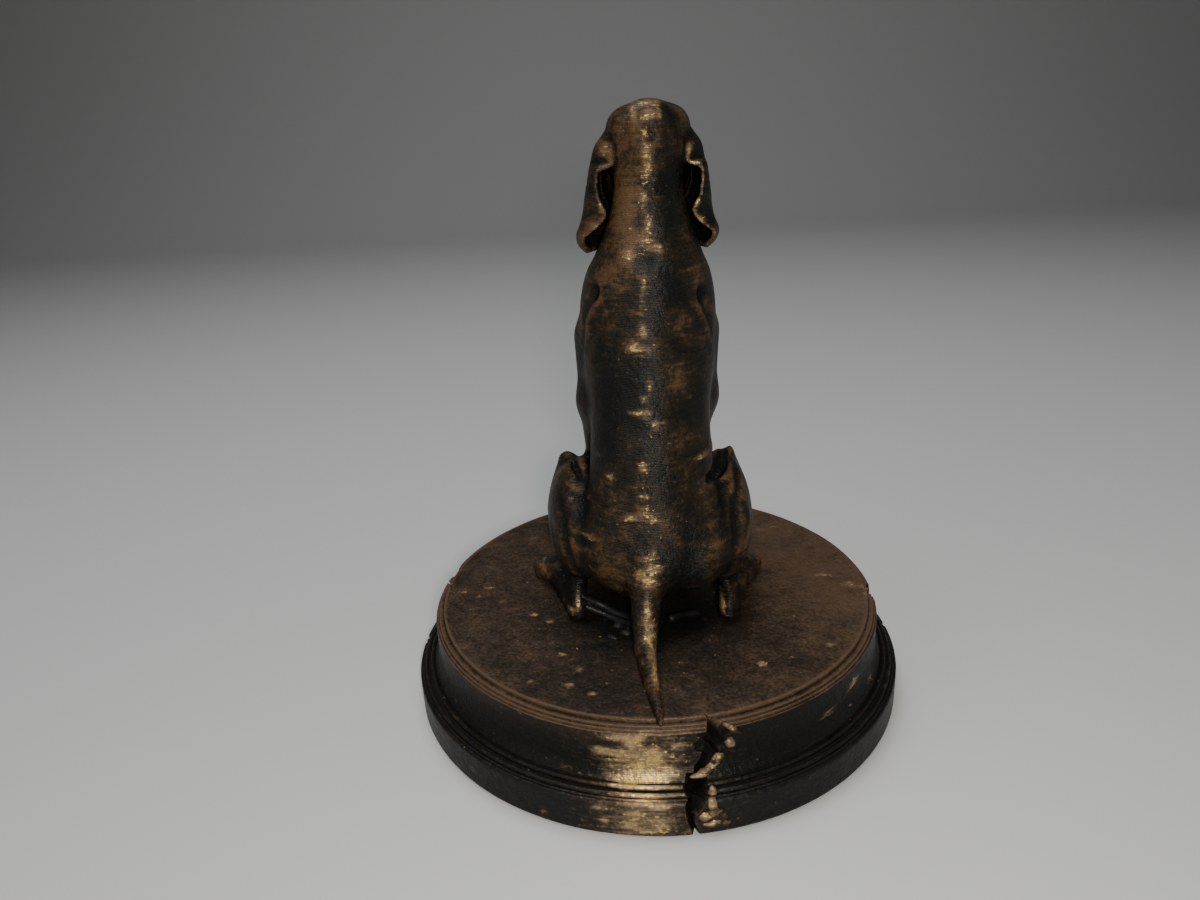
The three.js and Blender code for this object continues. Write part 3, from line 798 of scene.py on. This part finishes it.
def crack_cutter(points, rng):
    """A jagged wedge along a crack's path, in facets of about FACET, each end thrown off by up to THROW.

    It opens outwards on the wall, upwards on the top, and half-way between on the foot's rings.
    """
    FACET = 0.7
    THROW = 0.14
    places = [on_plinth(*p[:3]) for p in points]
    halves = [p[3] for p in points]
    path, widths = [places[0]], [halves[0]]
    for a, b, h0, h1 in zip(places, places[1:], halves, halves[1:]):
        count = max(int((b - a).length / FACET), 1)
        for i in range(1, count + 1):
            t = i / count
            path.append(a.lerp(b, t) + Vector(rng.uniform(-1, 1, 3)) * THROW)
            widths.append((h0 + (h1 - h0) * t) * rng.uniform(0.7, 1.25))
    rings = []
    for i, (at, half) in enumerate(zip(path, widths)):
        along = path[min(i + 1, len(path) - 1)] - path[max(i - 1, 0)]
        radius = math.hypot(at.x, at.y)
        out = Vector((at.x, at.y, 0)).normalized() * max(radius - 28, 0) / 4
        on_foot = at.z < 7 and 31.8 < radius < 34.6
        out.z = 1.2 if on_foot else max((at.z - 10.5) / 3, 0)
        out.normalize()
        across = along.cross(out).normalized() * half
        mouth = at + out * 0.7
        rings.append((mouth - across, mouth + across, at - out * 1.8 * half))
    points = [p for ring in rings for p in ring]
    faces = [(2, 1, 0), tuple(3 * (len(rings) - 1) + k for k in (0, 1, 2))]
    for i in range(len(rings) - 1):
        for k in range(3):
            a, b = 3 * i + k, 3 * i + (k + 1) % 3
            faces.append((a, b, b + 3, a + 3))
    return new_piece("crack_cutter", points, faces)


def pebble(name, place, size, turn, rng, roundness, least=0.8):
    """A rough stone, for biting out of the rim or standing on it."""
    form = bmesh.new()
    bmesh.ops.create_icosphere(form, subdivisions=roundness, radius=1)
    for vert in form.verts:
        vert.co *= rng.uniform(least, 1.15)
        vert.co = Vector(a * b for a, b in zip(vert.co, size))
    form.transform(Matrix.Rotation(math.radians(turn), 4, "Y"))
    points = [vert.co + Vector(place) for vert in form.verts]
    faces = [[vert.index for vert in face.verts] for face in form.faces]
    form.free()
    return new_piece(name, points, faces)


def drop_crumbs(form):
    """Deletes what the cuts have set loose: every part with fewer points than a crumb may have."""
    CRUMB_POINTS = 1000
    unseen = set(form.verts)
    while unseen:
        island, edge = [], [unseen.pop()]
        while edge:
            vert = edge.pop()
            island.append(vert)
            near = {line.other_vert(vert) for line in vert.link_edges} & unseen
            unseen -= near
            edge.extend(near)
        if len(island) < CRUMB_POINTS:
            bmesh.ops.delete(form, geom=island, context="VERTS")


def settled(thing):
    """The mesh that an object's modifiers make."""
    return bpy.data.meshes.new_from_object(thing.evaluated_get(bpy.context.evaluated_depsgraph_get()))


def model_plinth(material):
    profile = plinth_profile()
    wire = bpy.data.meshes.new("plinth_profile")
    points = [((r - SPINDLE) * MM, -z * MM, 0) for r, z in profile]
    wire.from_pydata(points, [(i, i + 1) for i in range(len(profile) - 1)], [])
    blank = add_object("plinth_blank", wire)
    tree, around, uneven = turning_tree(material)
    turned = blank.modifiers.new("turned", "NODES")
    turned.node_group = tree
    turned[around] = STEPS_AROUND
    turned[uneven] = UNEVENNESS * MM
    plinth = add_object("cracked_plinth", settled(blank))
    bpy.data.objects.remove(blank)
    rng = np.random.default_rng(7)
    cutters = bpy.data.collections.new("cutters")
    bpy.context.scene.collection.children.link(cutters)
    cracks = [crack_cutter(points, rng) for points in CRACKS]
    for cutter in [*cracks, *(pebble("bite", *bite, rng, 3) for bite in BITES)]:
        bpy.context.scene.collection.objects.unlink(cutter)
        cutters.objects.link(cutter)
    cut = plinth.modifiers.new("cracks", "BOOLEAN")
    cut.operand_type = "COLLECTION"
    cut.collection = cutters
    cut.solver = "MANIFOLD"
    cracked = settled(plinth)
    plinth.modifiers.clear()
    plinth.data = cracked
    for cutter in list(cutters.objects):
        bpy.data.objects.remove(cutter)
    bpy.data.collections.remove(cutters)
    cracked.name = "cracked_plinth"
    cracked.set_sharp_from_angle(angle=math.radians(35))
    merged = bmesh.new()
    merged.from_mesh(cracked)
    drop_crumbs(merged)
    for flake in FLAKES:
        stone = pebble("flake", *flake[:3], rng, 2, 0.75)
        merged.from_mesh(stone.data)
        bpy.data.objects.remove(stone)
    merged.to_mesh(cracked)
    merged.free()
    return plinth


# Finishes


class Finish:
    """A material's node tree, with short calls for the nodes it is made of."""

    def __init__(self, name):
        self.material = bpy.data.materials.new(name)
        self.material.use_nodes = True
        self.surface = self.material.node_tree.nodes["Principled BSDF"]
        place = self.node("TexCoord").outputs["Object"]
        self.place = self.node("VectorMath", place, operation="SCALE", Scale=1 / MM).outputs[0]

    def node(self, kind, *values, **settings):
        return add_node(self.material.node_tree, "ShaderNode" + kind, *values, **settings)

    def give(self, name, value):
        """Sets one of the surface's own sockets, or links to it what varies from place to place."""
        feed(self.surface.inputs[name], value)

    def math(self, operation, a, b=0):
        return self.node("Math", a, b, operation=operation).outputs[0]

    def attribute(self, name):
        node = self.node("Attribute")
        node.attribute_name = name
        return node.outputs["Fac"]

    def noise(self, size, detail=3, stretch=(1, 1, 1), seed=0):
        """Noise between 0 and 1 with patches of some size in millimetres, stretched along each axis."""
        scale = [1 / (size * s) for s in stretch]
        start = (seed, seed * 1.7, seed * 0.6)
        place = self.node("Mapping", self.place, Scale=scale, Location=start).outputs[0]
        return self.node("TexNoise", place, Scale=1, Detail=detail).outputs["Fac"]

    def ease(self, value, low, high, to_low=0, to_high=1):
        node = self.node("MapRange", value, low, high, to_low, to_high)
        node.interpolation_type = "SMOOTHSTEP"
        return node.outputs[0]

    def mix(self, factor, a, b):
        node = self.node("Mix", factor)
        node.data_type = "RGBA"
        colours = [socket for socket in node.inputs if socket.type == "RGBA"]
        for socket, value in zip(colours, (a, b)):
            feed(socket, (*value, 1) if isinstance(value, tuple) else value)
        return next(s for s in node.outputs if s.type == "RGBA")

    def layers(self):
        """The printed layers: 1 at the middle of each, 0 in the groove between two."""
        up = self.node("SeparateXYZ", self.place).outputs["Z"]
        phase = self.math("FRACT", self.math("DIVIDE", up, LAYER))
        off = self.math("SUBTRACT", self.math("MULTIPLY", phase, 2), 1)
        return self.math("SUBTRACT", 1, self.math("MULTIPLY", off, off))

    def bump(self, height, depth, **under):
        return self.node("Bump", Height=height, Distance=depth * MM, **under).outputs[0]


PLASTIC = (0.0042, 0.0042, 0.0034)
HOUND_BROWNS = ((0.021, 0.0138, 0.0078), (0.078, 0.0435, 0.0205))
PLINTH_BROWNS = ((0.023, 0.0155, 0.0102), (0.075, 0.0465, 0.028))
# Lighter bronze for rubbed paint and painted sheen; gold for gold flecks and painted glints
SHEEN_BRONZE = (0.3, 0.215, 0.125)
GOLD = (0.44, 0.31, 0.11)


def rubbed_plastic(name, browns, cover, patchiness, mottling, streaks, rub_and_sheen_amount, layer_depth):
    """Black plastic under bronze paint that was rubbed on, thickest where the surface stands proud, with
    painted highlight in its sheen and glints and painted shade in its wash.
    """
    finish = Finish(name)
    add = lambda *values: values[0] if len(values) == 1 else finish.math("ADD", values[0], add(*values[1:]))
    scaled = lambda value, by: finish.math("MULTIPLY", value, by)
    proud = finish.attribute("proud")
    # Where the copper wash is thicker, and where it is thinned for painted shade
    wash_and_shade = finish.attribute("wash_and_shade")
    # Where gold paint goes, and where highlight is painted in
    brushed_and_highlit = finish.attribute("brushed_and_highlit")
    patches = finish.noise(4.5, 5, seed=3)
    blotches = finish.noise(1.5, 4, (1, 1, 0.8), 31)
    specks = finish.noise(0.45, 3, seed=9)
    streak = finish.noise(1, 3, (3, 3, 0.42), 5)
    hair = finish.noise(0.5, 2, (2.2, 2.2, 0.4), 7)
    amount = add(
        scaled(patches, patchiness),
        scaled(blotches, mottling),
        scaled(streak, streaks),
        scaled(specks, 0.5),
        scaled(proud, 0.3),
        scaled(wash_and_shade, 0.45),
        scaled(brushed_and_highlit, 0.25),
    )
    usual = 0.5 * (patchiness + mottling + streaks + 0.5) - cover
    film = finish.ease(amount, usual - 0.26, usual + 0.26)
    warm = finish.ease(amount, usual + 0.02, usual + 0.48)
    # Lighter, more metallic bronze: rubbed paint, and a painted sheen where the lamp's reflection falls
    rub_and_sheen = finish.ease(add(scaled(brushed_and_highlit, 0.8), streak, scaled(specks, 0.6)), 0.95, 1.9, 0, rub_and_sheen_amount)
    # Gold glints: gold flecks of paint and painted highlight
    dabs = add(scaled(brushed_and_highlit, 0.9), scaled(hair, 2.6), scaled(specks, 2.6), blotches)
    glint = finish.ease(dabs, 3.95, 4.5)
    painted = finish.mix(film, PLASTIC, finish.mix(warm, *browns))
    colour = finish.mix(glint, finish.mix(rub_and_sheen, painted, SHEEN_BRONZE), GOLD)
    metal = add(scaled(film, 0.1), scaled(rub_and_sheen, 0.45), scaled(glint, 0.4))
    rough = finish.ease(add(scaled(specks, 0.5), scaled(blotches, 0.5)), 0.3, 0.7, 0.36, 0.5)
    finish.give("Base Color", colour)
    finish.give("Metallic", metal)
    finish.give("Roughness", add(rough, scaled(finish.attribute("broken"), 0.45)))
    finish.give("Tangent", finish.node("CombineXYZ", 0.02, 0.03, 1).outputs[0])
    finish.give("Anisotropic", 0.5)
    finish.give("Specular IOR Level", 0.15)
    layered = finish.bump(finish.layers(), layer_depth)
    wavy = finish.bump(blotches, 0.22, Normal=layered)
    finish.give("Normal", finish.bump(specks, 0.1, Normal=wavy))
    return finish.material


def bare_plastic():
    """The print's own black plastic, never painted."""
    finish = Finish("bare_black_plastic")
    patches = finish.noise(1.4, 3)
    finish.give("Base Color", finish.mix(patches, (0.005, 0.005, 0.006), (0.009, 0.009, 0.0105)))
    finish.give("Roughness", finish.ease(patches, 0.3, 0.7, 0.35, 0.55))
    finish.give("Specular IOR Level", 0.22)
    finish.give("Normal", finish.bump(finish.noise(0.6, 2), 0.08))
    return finish.material


def pale_floor():
    """A pale sweep: flat under the statue, and curved up far in front of it."""
    finish = Finish("pale_floor")
    finish.give("Base Color", (0.44, 0.45, 0.455, 1))
    finish.give("Roughness", 0.7)
    HALF = 700
    REAR = -420
    BEND = 200
    turns = np.linspace(1.57, 3.14, 16)
    profile = [(600, 0), *((REAR + BEND * math.cos(a), BEND - BEND * math.sin(a)) for a in turns)]
    profile.append((REAR - BEND, 700))
    points = [(side * HALF, y, z) for y, z in profile for side in (1, -1)]
    faces = [(2 * i, 2 * i + 1, 2 * i + 3, 2 * i + 2) for i in range(len(profile) - 1)]
    floor = new_piece("floor", points, faces)
    floor.data.materials.append(finish.material)


# Gold paint and painted highlight on the back of the hound, as [left, up, half width, half height, strength]
GOLD_AND_HIGHLIGHT_MARKS = [
    (2.1, 64.9, 0.4, 1.1, 1.1), (0.4, 66.2, 2, 0.8, 0.6), (-0.9, 65.1, 0.4, 1.1, 0.8),
    (0.4, 64.8, 1, 0.3, 0.8), (0.8, 62.9, 0.7, 0.5, 0.9), (0.7, 60.9, 0.6, 1.2, 0.9),
    (0.5, 58.3, 0.9, 1.2, 0.8), (1, 55, 0.5, 1.2, 0.8), (0.4, 52.1, 0.6, 1.2, 0.8), (3, 48.7, 0.9, 0.8, 1),
    (-0.4, 49.4, 1.5, 0.5, 0.9), (0.8, 50.4, 1.1, 0.5, 0.7), (1.2, 45.2, 0.5, 1.7, 0.7),
    (1.5, 41.9, 0.4, 1.4, 0.5), (1.3, 39.7, 0.5, 0.6, 0.9), (2.7, 37.8, 0.9, 0.7, 0.9),
    (0.9, 37.5, 1.4, 0.7, 0.6), (0.5, 33.2, 0.5, 1, 0.7), (1.3, 31.4, 0.5, 0.4, 0.9),
    (1.1, 29.8, 0.9, 0.5, 0.9), (2.7, 29.8, 0.9, 0.4, 0.8), (-0.2, 28.4, 0.6, 0.7, 0.9),
    (1.6, 23.3, 0.5, 1.1, 0.9), (5.7, 21.5, 0.5, 0.5, 1.2), (6.7, 20.2, 0.7, 0.2, 0.5),
    (2.5, 20.8, 0.6, 0.4, 0.6), (1.6, 19.7, 0.8, 0.4, 0.8), (1.3, 17.8, 1, 0.7, 0.6),
    (0.1, 16.8, 0.8, 0.5, 0.7), (3, 16.9, 0.8, 0.25, 1.3), (0.2, 12.7, 0.6, 0.4, 0.7),
    (1.5, 12.1, 1.4, 0.4, 0.8), (0.2, 10.7, 1.2, 0.7, 1), (2.1, 9.8, 1, 0.7, 0.9), (5, 6.8, 0.8, 0.8, 0.8),
    (0.9, 9, 1.5, 0.8, 1), (8.5, 13.5, 1.2, 0.35, 1), (10.9, 16.6, 0.5, 0.3, 0.8),
    (-6, 23.5, 0.9, 0.35, 0.9), (-10.9, 16.8, 0.4, 0.4, 0.6), (5.8, 60.9, 0.6, 0.8, 1),
    (-5, 60.7, 0.5, 0.7, 1), (-6, 59.1, 0.6, 0.3, 0.8), (-6.5, 56.8, 0.3, 1.7, 0.6),
    (-6.1, 54.1, 0.4, 0.8, 0.8), (-6.9, 52, 0.6, 0.5, 0.6), (6.3, 54.1, 0.3, 1.4, 0.7),
    (7.2, 51.8, 0.8, 0.4, 0.7), (10.3, 3.3, 0.3, 0.9, 1.4), (11, 2, 0.7, 0.5, 1.5),
    (-9.3, 2.6, 0.35, 1.2, 1.5), (15.4, 2.5, 0.5, 0.5, 0.7), (1.2, 5.8, 0.8, 1.6, 0.8),
    (1, 3, 0.8, 0.8, 0.8), (0.6, 1.8, 0.6, 0.3, 0.8),
]

# Where the copper wash is thicker or thinner than elsewhere, in the same terms; the darkening marks on the
# right half of the neck and back and around the heels are painted shade
WASH_AND_SHADE_MARKS = [
    (3.5, 56.7, 1.9, 5.9, 0.9), (3.4, 51.6, 2.4, 1.6, 0.5), (0.6, 32, 1.2, 15, -0.45),
    (5, 45, 2.3, 1.7, 0.35), (7.9, 36.9, 1.1, 3.1, 0.2), (-3.9, 41.1, 1.9, 1.9, 0.45),
    (-7, 40.9, 0.6, 3.1, 0.25), (-2.7, 32.9, 1.5, 3.1, 0.15), (5.3, 9.1, 2.9, 2.4, 0.45),
    (-5.9, 19.3, 2.6, 2.3, 0.15), (7.6, 53.4, 1, 1.8, 0.6), (-2.4, 57.2, 1.5, 6.5, -0.6),
    (-2.1, 45, 2.2, 3.2, -0.9), (10.4, 2.6, 1.9, 2.4, -0.9), (-9.6, 2.6, 1.9, 2.4, -0.9),
    (5.9, 32, 2.6, 4, -0.9), (-6.2, 32, 1.5, 3.2, -0.4), (5.6, 24.8, 2.6, 3, -0.35),
    (-4.4, 9.7, 3.2, 5.7, -0.5), (7.2, 57, 1.2, 3, -0.4), (-7.6, 55, 1.4, 7, -0.9), (0, 67, 6, 1.2, -0.1),
    (12.5, 9, 2.5, 8, -0.25), (13.2, 2.4, 1.4, 2.4, -0.6), (-12, 9, 2, 8, -0.25),
]

# Rubs, scratches and pits on the plinth's top, as [left, towards the tail, half sizes, strength]
TOP_MARKS = [
    (27.8, -0.8, 0.7, 0.4, 1.3), (25.5, 0.8, 0.6, 0.4, 1.1), (24.2, -1.6, 0.8, 0.4, 1.1),
    (21.9, 2.5, 0.4, 0.4, 1), (17.1, 6.4, 0.6, 0.4, 1.3), (14.9, 8.4, 0.6, 0.4, 1.3),
    (13, 16.4, 0.5, 0.4, 1.4), (16.9, 21.9, 0.5, 0.4, 1.3), (11.9, 22.9, 0.6, 0.4, 1.3),
    (9.2, 24.9, 0.5, 0.5, 1.4), (10.7, 19.9, 0.5, 0.4, 1.1), (-12.3, 20.6, 0.6, 0.6, 1.8),
    (-21.7, 17.2, 0.7, 0.5, 1.1), (-18.7, -15.8, 1.2, 0.7, 0.8), (-25, -0.6, 1.2, 0.5, 1),
    (-28.2, 2.4, 1, 0.9, 1.1), (-30.2, 5.7, 0.6, 1, 1.1),
]

# Rubs and painted highlight on the plinth's side, as [left, up, half sizes, strength]
SIDE_MARKS_AND_HIGHLIGHT = [
    (6.2, 12, 1.4, 0.3, 1.1), (4.7, 11.3, 0.8, 0.4, 1), (3.9, 12.1, 0.7, 0.4, 0.9), (8.4, 9.7, 1.3, 0.5, 1),
    (6.2, 9.4, 1, 0.5, 0.7), (2.1, 9.2, 0.8, 1.6, 0.7), (4, 7.9, 0.6, 0.6, 0.8), (3.7, 6.5, 2.6, 0.6, 1.5),
    (6.6, 6.2, 0.9, 0.3, 0.7), (3.6, 9, 4.2, 3, 0.55), (-0.8, 10.9, 1, 0.3, 0.8), (0.6, 7.2, 1, 0.4, 0.6),
    (2.6, 11.2, 1.2, 0.7, -0.6), (7.4, 10.8, 1.5, 0.35, -0.7), (3.7, 5.5, 1.5, 0.6, 0.9),
    (3.6, 2.8, 4.5, 2.2, 0.3), (4.9, 3.7, 0.8, 0.35, 0.8), (1.9, 4.5, 1.2, 0.3, 0.7),
    (9.2, 4.2, 1, 0.3, 0.9), (8.4, 2.2, 0.5, 0.5, 0.8), (5.5, 1.8, 0.7, 0.5, 0.8),
    (1.8, 2.1, 0.8, 0.5, 0.7), (3.2, 1.1, 1.5, 0.25, 0.7), (-24.1, 10.2, 1, 0.8, 0.9),
    (-20.1, 8.8, 1.5, 0.6, 0.7), (-27.6, 7.2, 0.6, 0.5, 0.6), (25, 2.6, 0.5, 0.5, 0.7),
    (15.8, 1.4, 0.6, 0.5, 0.6),
]


def bell(value, middle, width):
    """1 in the middle, and fading out to both sides."""
    return np.exp(-(((value - middle) / width) ** 2))


def daubs(u, v, marks):
    """Soft oval marks summed up, as [place and half size in u and v, strength]."""
    return sum(strength * bell(u, x, wide) * bell(v, y, high) for x, y, wide, high, strength in marks)


def dress_hound():
    hound = model_hound()
    mesh = hound.data
    x, y, z = points_of(mesh).T
    up = z - SEAT
    left = x - mid_line(up)
    behind = smooth_step(-9, -6, y)
    proud = proudness(mesh, 12) * 6 + proudness(mesh, 60) * 1.2
    paint_by_points(mesh, "proud", np.clip(proud, -1, 1))
    # A lighter line along the top of the tail, partly painted highlight; the tail and the rear are painted
    # darker
    tail_line = np.interp(y, (14, 18, 23, 28, 32), (1.9, 2.2, 2, 1.5, 1.3))
    tail_highlight = smooth_step(14, 17, y) * bell(x, tail_line - 0.45, 0.5)
    rims = np.zeros(len(x))
    for at in smooth_path([(across, along + 0.3, level) for level, across, along, *_ in EAR_LEVELS], 12):
        far = np.hypot(np.hypot(np.abs(left) - at[0], y - at[1]), up - at[2])
        rims = np.maximum(rims, bell(far, 0, 0.24))
    rims *= np.where(left > 0, 0.45, 1)
    # A painted highlight down the middle of the back, where the lamp beside the camera reflects
    spine_highlight = 0.2 * bell(left, 0.9, 1.2) * smooth_step(8, 11, up)
    paint_by_points(mesh, "brushed_and_highlit", (daubs(left, up, GOLD_AND_HIGHLIGHT_MARKS) + spine_highlight) * behind + 0.5 * tail_highlight + rims)
    paint_by_points(mesh, "wash_and_shade", daubs(left, up, WASH_AND_SHADE_MARKS) * behind - 0.35 * smooth_step(13, 16, y))
    finish = rubbed_plastic(
        "rubbed_bronze_hound", HOUND_BROWNS,
        cover=-0.06, patchiness=1, mottling=0.6, streaks=0.5, rub_and_sheen_amount=0.4, layer_depth=0.04,
    )
    mesh.materials.append(finish)
    strings = model_strings()
    strings.data.materials.append(bare_plastic())
    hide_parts("hound")
    for piece in (hound, strings):
        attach(piece, "root")


def dress_plinth():
    finish = rubbed_plastic(
        "rubbed_bronze_plinth", PLINTH_BROWNS,
        cover=0.07, patchiness=0.35, mottling=0.3, streaks=0.15, rub_and_sheen_amount=0.9, layer_depth=0.02,
    )
    plinth = model_plinth(finish)
    mesh = plinth.data
    paint_by_points(mesh, "proud", np.clip(proudness(mesh, 6) * 7, -1, 1))
    x, y, up = points_of(mesh).T
    radius = np.hypot(x, y)
    on_side = smooth_step(31, 31.5, radius)
    # The band of wall that faces the lamp beside the camera: painted highlight on it, painted shade on the
    # wall away from it
    lit_band = bell(np.degrees(np.arctan2(y, x)), 83, 11)
    flakes = np.zeros(len(x))
    flakes[-FLAKE_POINTS * len(FLAKES) :] = 0.85 * np.repeat([gold for *_, gold in FLAKES], FLAKE_POINTS)
    loose = flakes > 0
    # Only the upper half of each flake keeps its gold and painted highlight; the lower half is painted in
    # shade
    heights = up[loose].reshape(-1, FLAKE_POINTS)
    lit = heights > heights.mean(1, keepdims=True) - 0.05
    flakes[loose] *= np.where(lit, 1, 0.2).ravel()
    rings = plinth_profile()[20:]  # from the foot's wall upwards
    wall = np.interp(up, [z for _, z in rings], [r for r, _ in rings])
    slack = 0.1 + 0.8 * smooth_step(12.2, 12.4, up)
    broken = smooth_step(slack, slack + 0.4, wall - radius) * (up > 0.05) * (up < 13.5) * ~loose
    brushed_and_highlit = 0.8 * daubs(x, y, TOP_MARKS) * smooth_step(13.4, 13.6, up) * (1 - on_side)
    brushed_and_highlit += on_side * (daubs(x, up, SIDE_MARKS_AND_HIGHLIGHT) * (y > 0) + 0.35 * lit_band)
    paint_by_points(mesh, "brushed_and_highlit", brushed_and_highlit * (1 - broken) + flakes)
    # Painted shade on the top under the rump
    shade_under_rump = bell(x, 1, 10) * bell(y, 7, 9)
    front_left = bell(x, 8, 9) * bell(y, 24, 6)
    on_top = 0.2 - 1.4 * shade_under_rump - 0.35 * front_left
    # Painted light: the top is lighter towards its far right side
    far_right_light = 0.4 * smooth_step(5, 25, -x - 0.5 * y)
    # Painted shade on the wall away from the lit band, and more wash high up on its left
    wall_shade_and_wash = -0.8 * (1 - lit_band) + 0.6 * smooth_step(9, 12.4, up) * smooth_step(3, 12, x)
    # Painted highlight on the terraces' outer crests and painted shade in their inner corners, over a browner
    # band that grows towards the left
    on_steps = smooth_step(12.3, 12.5, up) * smooth_step(30.2, 30.35, radius)
    steps = (0.3 + 0.2 * smooth_step(-20, 5, x)) * on_steps
    for (outer, high), (inner, _) in zip(TERRACES, [*TERRACES[1:], (0, 0)]):
        level = bell(up, high, 0.09)
        steps += 0.35 * level * bell(radius, outer - 0.03, 0.07)
        steps -= 0.3 * level * bell(radius, inner + 0.1, 0.07)
    paint_by_points(mesh, "broken", broken)
    base = (on_top + far_right_light) * (1 - on_side) + wall_shade_and_wash * on_side * (1 - on_steps)
    paint_by_points(mesh, "wash_and_shade", base + steps - broken)
    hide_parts("plinth")
    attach(plinth, "root")


place_camera()
light_studio()
dress_hound()
dress_plinth()
pale_floor()
